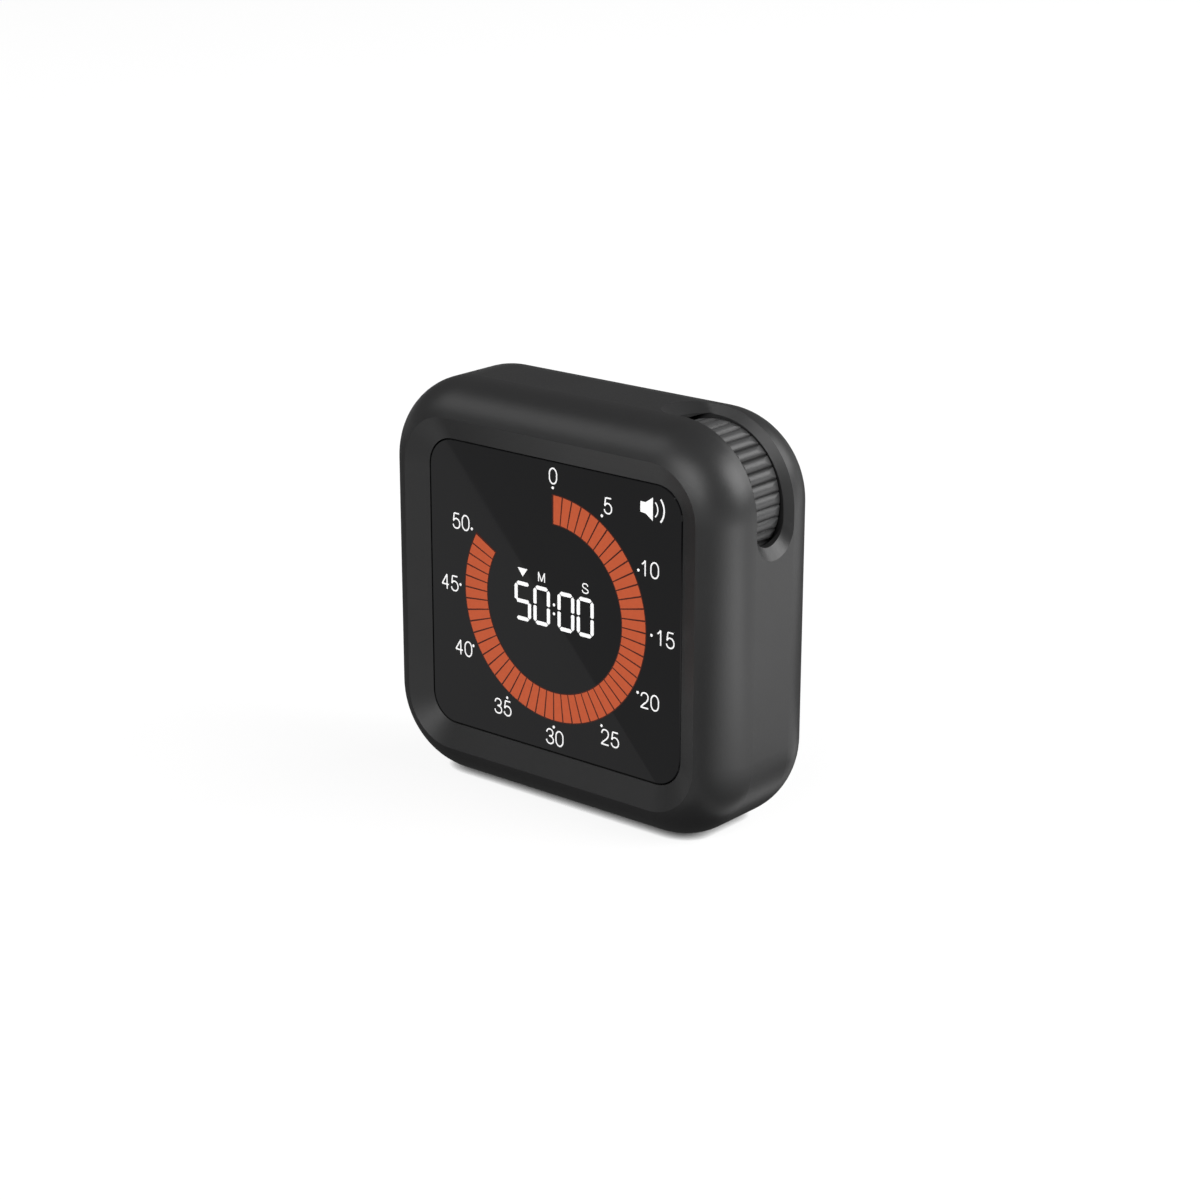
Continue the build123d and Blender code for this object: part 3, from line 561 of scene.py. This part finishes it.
@dataclass(frozen=True)
class Ink:
    """Lit colour of the display, with the faint cells of its panel."""

    name: str
    colour: Colour
    glow: float
    cell: float = 0.8 * MM
    cell_shade: float = 0.95
    roughness: float = 0.4
    specular: float = 0.2

    def material(self) -> bpy.types.Material:
        """Build the material.

        Returns:
            The material.
        """
        nodes = Nodes(self.name)
        shader = nodes.surface(Roughness=self.roughness, Specular_IOR_Level=self.specular,
                               Emission_Strength=self.glow)
        tint = nodes.ramp(nodes.noise(self.cell), shaded(self.colour, self.cell_shade), self.colour)
        nodes.join(tint, shader.inputs["Base Color"])
        nodes.join(tint, shader.inputs["Emission Color"])
        return nodes.material


@dataclass(frozen=True)
class FloorWhite:
    """White floor as bright as the photograph's ground, also in reflections, darker close to the timer."""

    name: str
    colour: Colour
    glow: float
    shade_reach: float
    shade_samples: int = 4
    cloud: float = 40.0 * MM
    cloud_shade: float = 0.99
    roughness: float = 0.9

    def material(self) -> bpy.types.Material:
        """Build the material.

        Returns:
            The material.
        """
        nodes = Nodes(self.name)
        shader = nodes.surface(Roughness=self.roughness, Specular_IOR_Level=0.0, Emission_Color=WHITE)
        paper = nodes.ramp(nodes.noise(self.cloud), shaded(self.colour, self.cloud_shade), self.colour)
        nodes.join(paper, shader.inputs["Base Color"])
        path = nodes.add("ShaderNodeLightPath").outputs
        seen = nodes.sum("MAXIMUM", path["Is Camera Ray"], path["Is Glossy Ray"])
        shown = nodes.sum("MAXIMUM", seen, path["Is Transmission Ray"])
        shade = nodes.add("ShaderNodeAmbientOcclusion", samples=self.shade_samples, Distance=self.shade_reach)
        glow = nodes.sum("MULTIPLY", shade.outputs["AO"], self.glow)
        nodes.join(nodes.sum("MULTIPLY", shown, glow), shader.inputs["Emission Strength"])
        return nodes.material


@dataclass(frozen=True)
class GreyCard:
    """Even glow of a card that only shows in reflections."""

    name: str
    level: float

    def material(self) -> bpy.types.Material:
        """Build the material.

        Returns:
            The material.
        """
        nodes = Nodes(self.name)
        nodes.surface(Base_Color=BLACK, Specular_IOR_Level=0.0, Emission_Color=WHITE,
                      Emission_Strength=self.level)
        return nodes.material


@dataclass(frozen=True)
class SoftCard:
    """Glow of a card that fades outwards from its brightest place and only shows in reflections."""

    name: str
    level: float
    middle: tuple[float, float]
    reach: tuple[float, float]

    def material(self) -> bpy.types.Material:
        """Build the material.

        Returns:
            The material.
        """
        nodes = Nodes(self.name)
        shader = nodes.surface(Base_Color=BLACK, Specular_IOR_Level=0.0, Emission_Color=WHITE)
        wide, deep = self.reach
        shift = (-self.middle[0] / wide, -self.middle[1] / deep, 0)
        mapping = nodes.add("ShaderNodeMapping", Location=shift, Scale=(1 / wide, 1 / deep, 1))
        nodes.join(nodes.place, mapping.inputs["Vector"])
        pool = nodes.add("ShaderNodeTexGradient", gradient_type="SPHERICAL")
        nodes.join(mapping.outputs["Vector"], pool.inputs["Vector"])
        nodes.join(nodes.sum("MULTIPLY", pool.outputs["Fac"], self.level), shader.inputs["Emission Strength"])
        return nodes.material


Finish = (Moulded | Polished | Metal | Foam | Striped | Laminate | CellSleeve | Ink
          | FloorWhite | GreyCard | SoftCard)


def dress(finish: Finish, *names: str) -> None:
    """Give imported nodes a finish.

    Args:
        finish: the finish.
        names: names of the nodes.
    """
    material = finish.material()
    for name in names:
        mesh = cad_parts[name].data
        mesh.materials.clear()
        mesh.materials.append(material)
        LOG.info("%s: %s", name, finish.name)


def as_object(bm: bmesh.types.BMesh, name: str, finish: Finish) -> bpy.types.Object:
    """Make an object of a bmesh and free the bmesh.

    Args:
        bm: the finished bmesh.
        name: name of the piece.
        finish: its finish.

    Returns:
        The new object, linked to the scene.
    """
    mesh = bpy.data.meshes.new(name)
    bm.to_mesh(mesh)
    bm.free()
    mesh.materials.append(finish.material())
    piece = bpy.data.objects.new(name, mesh)
    bpy.context.scene.collection.objects.link(piece)
    LOG.info("%s: %d faces", name, len(mesh.polygons))
    return piece


@dataclass(frozen=True)
class Strokes:
    """Thin round-ended strokes of the display's plain numerals and letters.

    Each sign is drawn about its middle in a square from -1 to 1: smooth strokes bend through their
    points, straight ones have corners there.
    """

    width: float = 0.3
    round_steps: int = 1
    bend_steps: int = 5
    smooth: dict[str, tuple[Outline, ...]] = field(default_factory=lambda: {
        "0": (((0, 1), (0.72, 0.76), (1, 0), (0.72, -0.76), (0, -1), (-0.72, -0.76), (-1, 0), (-0.72, 0.76),
               (0, 1)),),
        "1": (((-0.62, 0.46), (-0.15, 0.7), (0.22, 1)),),
        "2": (((-0.93, 0.48), (-0.62, 0.87), (0, 1), (0.66, 0.86), (0.92, 0.46), (0.6, -0.06), (-0.35, -0.58),
               (-1, -1)),),
        "3": (((-0.92, 0.52), (-0.6, 0.88), (0, 1), (0.64, 0.86), (0.84, 0.52), (0.56, 0.17), (-0.18, 0.06)),
              ((-0.18, 0.06), (0.66, -0.1), (1, -0.48), (0.7, -0.86), (0, -1), (-0.68, -0.86), (-1, -0.5))),
        "5": (((-0.84, -0.04), (-0.42, 0.24), (0.08, 0.3), (0.72, 0.1), (1, -0.34), (0.72, -0.82), (0, -1),
               (-0.7, -0.84), (-1, -0.5)),),
        "S": (((0.86, 0.52), (0.58, 0.88), (0, 1), (-0.64, 0.86), (-0.86, 0.5), (-0.5, 0.16), (0.45, -0.12),
               (0.96, -0.5), (0.7, -0.86), (0, -1), (-0.7, -0.86), (-1, -0.44)),),
    })
    straight: dict[str, tuple[Outline, ...]] = field(default_factory=lambda: {
        "1": (((0.22, 1), (0.22, -1)),),
        "2": (((-1, -1), (1, -1)),),
        "4": (((0.45, -1), (0.45, 1), (-1, -0.38), (1, -0.38)),),
        "5": (((0.84, 1), (-0.62, 1), (-0.84, -0.04)),),
        "M": (((-1, -1), (-1, 1), (0, -0.9), (1, 1), (1, -1)),),
    })

    def draw(self, bm: bmesh.types.BMesh, sign: str, middle: Sequence[float], size: Sequence[float],
             thickness: float) -> None:
        """Add one sign to a drawing in millimetres.

        Args:
            bm: the drawing.
            sign: the numeral or letter.
            middle: place of its middle.
            size: its width and height, outside its strokes.
            thickness: thickness of the print.
        """
        curve = bpy.data.curves.new(sign, "CURVE")
        curve.dimensions = "3D"
        curve.bevel_depth = self.width / 2
        curve.bevel_resolution = self.round_steps
        curve.resolution_u = self.bend_steps
        curve.use_fill_caps = True
        half = [(side - self.width) / 2 for side in size]
        sides = [pair for stroke in self.straight.get(sign, ()) for pair in zip(stroke, stroke[1:])]
        for stroke in (*self.smooth.get(sign, ()), *sides):
            closed = stroke[0] == stroke[-1]
            points = stroke[:-1] if closed else stroke
            spline = curve.splines.new("BEZIER")
            spline.bezier_points.add(len(points) - 1)
            spline.use_cyclic_u = closed
            for knot, (across, up) in zip(spline.bezier_points, points):
                knot.co = (across * half[0], up * half[1], 0)
                knot.handle_left_type = knot.handle_right_type = "AUTO"
        writing = bpy.data.objects.new(sign, curve)
        bpy.context.scene.collection.objects.link(writing)
        mesh = bpy.data.meshes.new_from_object(writing.evaluated_get(bpy.context.evaluated_depsgraph_get()))
        flat = Matrix.Diagonal((1, 1, thickness / self.width, 1))
        mesh.transform(Matrix.Translation((*middle, thickness / 2)) @ flat)
        bm.from_mesh(mesh)
        bpy.data.objects.remove(writing)
        bpy.data.curves.remove(curve)
        bpy.data.meshes.remove(mesh)


@dataclass
class Display:
    """The display behind the lens, with its ring, numerals and digits.

    The drawings are built flat in millimetres, with places (x, z) from the middle of the ring, and are
    then stood on the front of the lens.
    """

    middle: tuple[float, float] = (0.29, 0.08)
    thickness: float = 0.03
    ring_inner: float = 15.91
    ring_outer: float = 21.16
    ring_steps: int = 4
    ring_line: float = 0.2
    under_share: float = 0.5
    minutes: int = 60
    lit_minutes: int = 50
    segment_gap: float = 0.27
    dot_ring: float = 22.5
    dot_radius: float = 0.27
    dots_in_turn: int = 12
    dot_sides: int = 16
    numeral_size: tuple[float, float] = (1.97, 3.1)
    numeral_advance: float = 2.28
    letter_size: tuple[float, float] = (1.66, 1.98)
    letter_up: float = 5.4
    letters: tuple[tuple[str, float], ...] = (("M", -2.75), ("S", 7.46))
    time: str = "5000"
    digit_width: float = 3.92
    digit_height: float = 7.35
    digit_stroke: float = 0.74
    digit_gap: float = 0.115
    digit_blunt: float = 0.45
    digit_places: tuple[float, ...] = (-7.24, -2.74, 2.96, 7.46)
    colon_places: Outline = ((0.16, 0.84), (0.16, -0.84))
    colon_radius: float = 0.28
    pointer: Outline = ((-8.4, 6.22), (-7.24, 4.66), (-6.08, 6.22))
    speaker: Outline = (
        (19.85, 21.85), (21.0, 21.75), (22.6, 20.7), (22.6, 24.85), (21.0, 23.75), (19.85, 23.75),
    )
    speaker_heart: tuple[float, float] = (21.95, 22.78)
    speaker_waves: tuple[tuple[float, float, float], ...] = ((1.62, 0.24, 48), (2.96, 0.32, 41))
    wave_steps: int = 12
    strokes: Strokes = Strokes()
    letter_strokes: Strokes = Strokes(width=0.25)
    numerals: dict[str, tuple[float, float]] = field(default_factory=lambda: {
        "0": (0.05, 24.65), "5": (12.6, 21.5), "10": (21.95, 11.85), "15": (25.5, -0.1),
        "20": (22.2, -12.4), "25": (13.2, -21.5), "30": (0.2, -24.5), "35": (-12.35, -21.6),
        "40": (-21.9, -12.2), "45": (-25.1, -0.1), "50": (-22.15, 12.05),
    })

    def stand(self) -> Matrix:
        """Give the move from the flat drawing in millimetres to the lens in metres.

        Returns:
            The matrix.
        """
        low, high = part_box("display_lens")
        across, up = (place * MM for place in self.middle)
        place = Vector((across, low.y, up + (low.z + high.z) / 2))
        upright = Matrix(((1, 0, 0), (0, 0, -1), (0, 1, 0))).to_4x4()
        return Matrix.Translation(place) @ upright @ Matrix.Scale(MM, 4)

    def thicken(self, bm: bmesh.types.BMesh, share: float = 1.0) -> None:
        """Give a flat drawing the thickness of print.

        Args:
            bm: the drawing, as faces in the XY plane.
            share: share of the full thickness.
        """
        raised = bmesh.ops.extrude_face_region(bm, geom=bm.faces[:], use_keep_orig=True)["geom"]
        top = [part for part in raised if isinstance(part, bmesh.types.BMVert)]
        bmesh.ops.translate(bm, verts=top, vec=(0, 0, self.thickness * share))
        bmesh.ops.recalc_face_normals(bm, faces=bm.faces)

    def piece(self, bm: bmesh.types.BMesh, name: str, finish: Finish) -> None:
        """Stand a drawing on the lens and let it ride on the case.

        Args:
            bm: the drawing.
            name: name of the piece.
            finish: its finish.
        """
        bmesh.ops.transform(bm, matrix=self.stand(), verts=bm.verts)
        piece = as_object(bm, name, finish)
        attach(piece, Body.CASE.value)

    def sector(self, bm: bmesh.types.BMesh, radii: Sequence[float], start: float, turn: float,
               steps: int) -> None:
        """Add a sector of a ring, clockwise from the top.

        Args:
            bm: the drawing.
            radii: inner and outer radius.
            start: angle where it starts.
            turn: angle that it spans.
            steps: number of its faces.
        """
        first = [bm.verts.new((0, radius, 0)) for radius in radii]
        edge = bm.edges.new(first)
        bmesh.ops.rotate(bm, verts=first, cent=(0, 0, 0), matrix=Matrix.Rotation(-start, 3, "Z"))
        bmesh.ops.spin(bm, geom=[*first, edge], cent=(0, 0, 0), axis=(0, 0, 1), angle=-turn, steps=steps)

    def ring(self) -> None:
        """Draw the lit minutes as segments, on a dark ring that shows between and round them."""
        minute = 2 * math.pi / self.minutes
        middle = (self.ring_inner + self.ring_outer) / 2
        gap = self.segment_gap / middle
        bm = bmesh.new()
        radii = (self.ring_inner, self.ring_outer)
        for index in range(self.lit_minutes):
            self.sector(bm, radii, index * minute + gap / 2, minute - gap, self.ring_steps)
        self.thicken(bm)
        self.piece(bm, "dial_ring", DIAL_ORANGE)
        bm = bmesh.new()
        radii = (self.ring_inner - self.ring_line, self.ring_outer + self.ring_line)
        ends = self.ring_line / middle
        turn = self.lit_minutes * minute + 2 * ends
        self.sector(bm, radii, -ends, turn, self.lit_minutes * self.ring_steps)
        self.thicken(bm, self.under_share)
        self.piece(bm, "dial_lines", DIAL_BROWN)

    def dot(self, bm: bmesh.types.BMesh, middle: Sequence[float], radius: float) -> None:
        """Add a round dot.

        Args:
            bm: the drawing.
            middle: place of its middle.
            radius: its radius.
        """
        place = Matrix.Translation((*middle, 0))
        bmesh.ops.create_circle(bm, cap_ends=True, segments=self.dot_sides, radius=radius, matrix=place)

    def dots(self) -> None:
        """Draw the dot of each numeral."""
        bm = bmesh.new()
        for index in range(len(self.numerals)):
            turn = index * 2 * math.pi / self.dots_in_turn
            self.dot(bm, (self.dot_ring * math.sin(turn), self.dot_ring * math.cos(turn)), self.dot_radius)
        self.thicken(bm)
        self.piece(bm, "dial_dots", DIAL_WHITE)

    def words(self) -> None:
        """Write the numerals of the dial and the letters over the digits."""
        bm = bmesh.new()
        for body, middle in self.numerals.items():
            for index, sign in enumerate(body):
                across = (index - (len(body) - 1) / 2) * self.numeral_advance
                place = (middle[0] + across, middle[1])
                self.strokes.draw(bm, sign, place, self.numeral_size, self.thickness)
        for sign, across in self.letters:
            place = (across, self.letter_up)
            self.letter_strokes.draw(bm, sign, place, self.letter_size, self.thickness)
        self.piece(bm, "dial_numerals", DIAL_WHITE)

    def bar(self, bm: bmesh.types.BMesh, start: Vector, end: Vector) -> None:
        """Add one bar of a digit, with pointed ends that are blunter halfway up.

        Args:
            bm: the drawing.
            start: its first end.
            end: its other end.
        """
        along = (end - start).normalized()
        half = self.digit_stroke / 2
        across = Vector((-along.y, along.x)) * half
        first, last = (along * half * (1 if tip.y else self.digit_blunt) for tip in (start, end))
        start, end = start + along * self.digit_gap, end - along * self.digit_gap
        corners = (start, start + first - across, end - last - across,
                   end, end - last + across, start + first + across)
        bm.faces.new([bm.verts.new((*corner, 0)) for corner in corners])

    def digits(self) -> None:
        """Draw the time as digits of seven bars, with a colon."""
        bm = bmesh.new()
        side = (self.digit_width - self.digit_stroke) / 2
        rise = (self.digit_height - self.digit_stroke) / 2
        knots = {"nw": (-side, rise), "ne": (side, rise), "w": (-side, 0), "e": (side, 0),
                 "sw": (-side, -rise), "se": (side, -rise)}
        bars = {"0": ("nw ne", "ne e", "e se", "sw se", "w sw", "nw w"),
                "5": ("nw ne", "nw w", "w e", "e se", "sw se")}
        for digit, place in zip(self.time, self.digit_places):
            for bar in bars[digit]:
                first, last = (Vector(knots[knot]) + Vector((place, 0)) for knot in bar.split())
                self.bar(bm, first, last)
        for place in self.colon_places:
            self.dot(bm, place, self.colon_radius)
        self.thicken(bm)
        self.piece(bm, "time_digits", DIAL_WHITE)

    def signs(self) -> None:
        """Draw the pointer over the first digit and the loudspeaker."""
        bm = bmesh.new()
        for outline in (self.pointer, self.speaker):
            bm.faces.new([bm.verts.new((*corner, 0)) for corner in outline])
        heart = Vector((*self.speaker_heart, 0))
        for radius, width, degrees in self.speaker_waves:
            reach = math.radians(degrees)
            first = [bm.verts.new(heart + Vector((span, 0, 0))) for span in (radius, radius + width)]
            edge = bm.edges.new(first)
            bmesh.ops.rotate(bm, verts=first, cent=heart, matrix=Matrix.Rotation(-reach, 3, "Z"))
            bmesh.ops.spin(bm, geom=[*first, edge], cent=heart, axis=(0, 0, 1), angle=2 * reach,
                           steps=self.wave_steps)
        self.thicken(bm)
        self.piece(bm, "display_signs", DIAL_WHITE)

    def dress(self) -> None:
        """Finish the lens and what lies behind it."""
        dress(LENS_PLASTIC, "display_lens")
        dress(BLACK_TAPE, "lens_gasket")
        dress(PANEL_GLASS, "lcd_panel")
        dress(GUIDE_ACRYLIC, "light_guide")
        dress(LAMP_RESIN, "backlight_leds")
        dress(CONTACT_RUBBER, "zebra_strips")
        dress(WHITE_PLASTIC, "lcd_frame")

    def build(self) -> None:
        """Dress the nodes and draw everything that the display shows."""
        self.dress()
        self.ring()
        self.dots()
        self.words()
        self.digits()
        self.signs()


@dataclass
class Case:
    """The housing, its rear cover and the screws that hold them together."""

    shells: tuple[str, ...] = ("housing", "rear_cover")

    def dress(self) -> None:
        """Finish the shells and the screws."""
        dress(CASE_PLASTIC, *self.shells)
        dress(PLATED_STEEL, "cover_screws")


@dataclass
class Thumbwheel:
    """The scalloped wheel, its screw and the encoder that it turns."""

    screws: tuple[str, ...] = ("wheel_screw", "encoder_screws")

    def dress(self) -> None:
        """Finish the wheel and the encoder."""
        dress(WHEEL_PLASTIC, "thumbwheel")
        dress(PLATED_STEEL, *self.screws)
        dress(ENCODER_PLASTIC, "encoder_body")
        dress(SHAFT_BRASS, "encoder_shaft")
        dress(BOARD_LAMINATE, "encoder_board")
        dress(RIBBON_UPRIGHT, "encoder_ribbon")


@dataclass
class MainBoard:
    """The board behind the display, with what is soldered to it."""

    def dress(self) -> None:
        """Finish the board and its components."""
        dress(BOARD_LAMINATE, "main_board")
        dress(CHIP_RESIN, "controller_chip")
        dress(CAN_STEEL, "crystal_can")
        dress(CAPACITOR_SLEEVE, "board_capacitors")
        dress(PLATED_STEEL, "board_screws")
        dress(RIBBON_LEVEL, "board_ribbon")


@dataclass
class Sound:
    """The small board at the back, with the buzzer and the volume switch."""

    def dress(self) -> None:
        """Finish the board, the buzzer, the switch and its slider."""
        dress(BOARD_LAMINATE, "rear_board")
        dress(PLATED_STEEL, "rear_board_screws")
        dress(BUZZER_PLASTIC, "buzzer")
        dress(SWITCH_STEEL, "volume_switch")
        dress(SLIDER_PLASTIC, "volume_slider")


@dataclass
class Power:
    """The battery door, the two cells and their contacts."""

    contacts: tuple[str, ...] = ("battery_bridge", "positive_contact", "negative_contact")

    def dress(self) -> None:
        """Finish the door, its pad, the cells and the contacts."""
        dress(CASE_PLASTIC, "battery_door")
        dress(PAD_FOAM, "door_pad")
        low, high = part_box("battery_cells")
        dress(CellSleeve("cell_sleeve", (low.x + high.x) / 2, (high.x - low.x) / 2), "battery_cells")
        dress(CONTACT_STEEL, *self.contacts)


def direction(azimuth: float, elevation: float) -> Vector:
    """Give the direction from the timer to a place round it.

    Args:
        azimuth: angle from the front towards the right.
        elevation: angle above the floor.

    Returns:
        The direction, of length 1.
    """
    level = math.cos(elevation)
    return Vector((math.sin(azimuth) * level, -math.cos(azimuth) * level, math.sin(elevation)))


@dataclass(frozen=True)
class Lamp:
    """A square lamp that faces the timer: angles in degrees, lengths in metres, power in watts."""

    name: str
    azimuth: float
    elevation: float
    distance: float
    size: float
    power: float

    def hang(self, height: float) -> None:
        """Hang the lamp.

        Args:
            height: height of the place that it faces.
        """
        data = bpy.data.lights.new(self.name, "AREA")
        data.size = self.size
        data.energy = self.power
        lamp = bpy.data.objects.new(self.name, data)
        away = direction(math.radians(self.azimuth), math.radians(self.elevation))
        lamp.location = Vector((0, 0, height)) + away * self.distance
        lamp.rotation_euler = (-away).to_track_quat("-Z", "Y").to_euler()
        bpy.context.scene.collection.objects.link(lamp)


@dataclass
class Studio:
    """White floor, soft lamps and the camera of the photograph."""

    aim: Vector = field(default_factory=lambda: Vector((0, -12.88 * MM, 38.0 * MM)))
    azimuth: float = math.radians(40.832)
    elevation: float = math.radians(18.227)
    roll: float = -0.0043
    distance: float = 494.18 * MM
    lens: float = 82.934
    sensor: float = 36.0
    nearest: float = 0.01
    shift: tuple[float, float] = (0.0399, 0.0077)
    floor_size: float = 12.0
    sky_strength: float = 0.125
    card_line: Outline = ((-25.3 * MM, 65.0 * MM), (25.0 * MM, 9.7 * MM))
    card_past: tuple[float, float] = (2, 1)
    card_depth: float = 0.5
    card_height: float = 0.2 * MM
    upper_height: float = 0.4 * MM
    # painted shadow: the dark card reaches under the timer, where it stands for the timer's shadow in
    # reflections
    dark_card: Outline = (
        (-1.2, -0.7), (-0.73, -0.7), (-0.0525, -0.022), (0.0375, -0.022),
        (0.0375, 0.05), (0.075, 0.08), (0.075, 1.5), (-1.2, 1.5),
    )
    bright_card: Outline = ((0.042, -0.14), (0.4, -0.14), (0.4, 0.03), (0.042, 0.03))
    pale_card: Outline = ((0.085, 0.03), (0.5, 0.03), (0.5, 0.3), (0.085, 0.3))
    lamps: tuple[Lamp, ...] = (
        Lamp("lamp_right", 110, 33, 2.8, 1.8, 90),
        Lamp("lamp_front", 8, 28, 3.6, 2.4, 104),
        Lamp("lamp_left", -56, 44, 3.0, 1.5, 16),
        Lamp("lamp_back", 150, 28, 3.0, 1.8, 40),
    )

    def camera(self) -> None:
        """Place the camera where the photograph was taken from."""
        back = direction(self.azimuth, self.elevation)
        right = Vector((math.cos(self.azimuth), math.sin(self.azimuth), 0))
        up = back.cross(right)
        across = math.cos(self.roll) * right + math.sin(self.roll) * up
        data = bpy.data.cameras.new("camera")
        data.sensor_width = self.sensor
        data.lens = self.lens
        data.shift_x, data.shift_y = self.shift
        data.clip_start = self.nearest
        camera = bpy.data.objects.new("camera", data)
        turned = Matrix((across, back.cross(across), back)).transposed().to_4x4()
        camera.matrix_world = Matrix.Translation(self.aim + back * self.distance) @ turned
        bpy.context.scene.collection.objects.link(camera)
        bpy.context.scene.camera = camera

    def floor(self) -> None:
        """Lay the white floor."""
        bm = bmesh.new()
        bmesh.ops.create_grid(bm, x_segments=1, y_segments=1, size=self.floor_size / 2)
        as_object(bm, "floor", PAPER_WHITE)

    def card(self, name: str, corners: list[Vector], finish: Finish) -> None:
        """Lay a flat card that only shows in reflections.

        Args:
            name: name of the card.
            corners: its corners in order.
            finish: its finish.
        """
        bm = bmesh.new()
        bm.faces.new([bm.verts.new(corner) for corner in corners])
        card = as_object(bm, name, finish)
        card.visible_camera = card.visible_diffuse = card.visible_shadow = card.visible_transmission = False

    def cards(self) -> None:
        """Lay the cards that show in reflections.

        The far edge of the grey card is the slanting line in the lens. The dark card lies at the left and
        behind the timer, and the two bright ones at its right. Under the timer the dark card is painted
        shadow: it stands for the timer's shadow in reflections.
        """
        eye = self.aim + direction(self.azimuth, self.elevation) * self.distance
        corners = []
        for across, up in self.card_line:
            point = Vector((across, self.aim.y, up))
            ray = (point - eye) * Vector((1, -1, 1))
            corners.append(point - ray * ((up - self.card_height) / ray.z))
        far, near = corners
        run = far - near
        nearer = Vector((0, -self.card_depth, 0))
        far, near = far + run * self.card_past[0], near - run * self.card_past[1]
        self.card("grey_card", [far, near, near + nearer, far + nearer], CARD_GREY)
        laid = (("dark_card", self.dark_card, CARD_DARK), ("bright_card", self.bright_card, CARD_BRIGHT),
                ("pale_card", self.pale_card, CARD_PALE))
        for name, outline, finish in laid:
            self.card(name, [Vector((x, y, self.upper_height)) for x, y in outline], finish)

    def sky(self) -> None:
        """Light everything softly from all round."""
        world = bpy.data.worlds.new("studio")
        bpy.context.scene.world = world
        world.use_nodes = True
        background = world.node_tree.nodes["Background"]
        background.inputs["Color"].default_value = WHITE
        background.inputs["Strength"].default_value = self.sky_strength

    def build(self) -> None:
        """Set up camera, floor and light."""
        self.camera()
        self.floor()
        self.cards()
        self.sky()
        for lamp in self.lamps:
            lamp.hang(self.aim.z)
        bpy.context.scene.view_settings.view_transform = "Standard"


CASE_PLASTIC = Moulded("case_plastic", (0.018, 0.018, 0.0183), 0.39, specular=0.32)
WHEEL_PLASTIC = Scalloped("wheel_plastic", (0.05, 0.05, 0.0506), 0.4, specular=0.3)
SLIDER_PLASTIC = Moulded("slider_plastic", (0.02, 0.02, 0.021), 0.4)
ENCODER_PLASTIC = Moulded("encoder_plastic", (0.03, 0.03, 0.03), 0.38)
BUZZER_PLASTIC = Moulded("buzzer_plastic", (0.015, 0.015, 0.015), 0.35)
CHIP_RESIN = Moulded("chip_resin", (0.02, 0.02, 0.02), 0.6, grain=0.15 * MM, grain_depth=0.02 * MM)
CAPACITOR_SLEEVE = Moulded("capacitor_sleeve", (0.012, 0.016, 0.05), 0.28)
WHITE_PLASTIC = Moulded("frame_plastic", (0.7, 0.7, 0.68), 0.4)
LAMP_RESIN = Moulded("lamp_resin", (0.75, 0.62, 0.2), 0.3)
LENS_PLASTIC = Polished("lens_plastic", (0.004, 0.004, 0.0045), 0.025, specular=0.18)
PANEL_GLASS = Polished("display_glass", (0.02, 0.022, 0.02), specular=0.5)
GUIDE_ACRYLIC = Polished("guide_acrylic", (0.72, 0.74, 0.74), specular=0.5)
BLACK_TAPE = Foam("adhesive", (0.02, 0.02, 0.02), 0.3 * MM)
PAD_FOAM = Foam("foam", (0.05, 0.05, 0.052))
CONTACT_RUBBER = Striped("strip_rubber", (0.015, 0.015, 0.015), (0.3, 0.28, 0.25), 0.18 * MM)
RIBBON_LEVEL = Striped("ribbon_level", (0.32, 0.33, 0.34), (0.6, 0.6, 0.58), 1.0 * MM, along=Along.Z)
RIBBON_UPRIGHT = Striped("ribbon_upright", (0.32, 0.33, 0.34), (0.6, 0.6, 0.58), 1.0 * MM)
BOARD_LAMINATE = Laminate("board_laminate")
PLATED_STEEL = Metal("screw_steel", (0.56, 0.56, 0.57))
CAN_STEEL = Metal("can_metal", (0.62, 0.62, 0.6), 0.25, Along.X)
SHAFT_BRASS = Metal("shaft_metal", (0.6, 0.47, 0.25), 0.28)
SWITCH_STEEL = Metal("switch_metal", (0.6, 0.6, 0.6), 0.3, Along.Z)
CONTACT_STEEL = Metal("contact_metal", (0.66, 0.64, 0.6), 0.26, Along.Z)
DIAL_ORANGE = Ink("dial_orange", (0.48, 0.086, 0.031), 0.25)
DIAL_BROWN = Ink("dial_brown", (0.05, 0.008, 0.004), 0.2)
DIAL_WHITE = Ink("dial_white", (0.9, 0.9, 0.9), 0.35)
PAPER_WHITE = FloorWhite("floor_white", (0.14, 0.14, 0.14), 0.87, 1.4 * MM)
CARD_GREY = GreyCard("card_grey", 0.7)
CARD_DARK = GreyCard("card_dark", 0.1)
CARD_BRIGHT = SoftCard("card_bright", 8.0, (0.2, -0.005), (0.16, 0.12))
CARD_PALE = GreyCard("card_pale", 1.8)


def main() -> None:
    """Dress the timer, draw its display and build its stage."""
    for part in (Case(), Thumbwheel(), MainBoard(), Sound(), Power()):
        part.dress()
    Display().build()
    Studio().build()


if __name__ == "__main__":
    logging.basicConfig(level=logging.INFO, format="%(name)s: %(message)s")
    main()
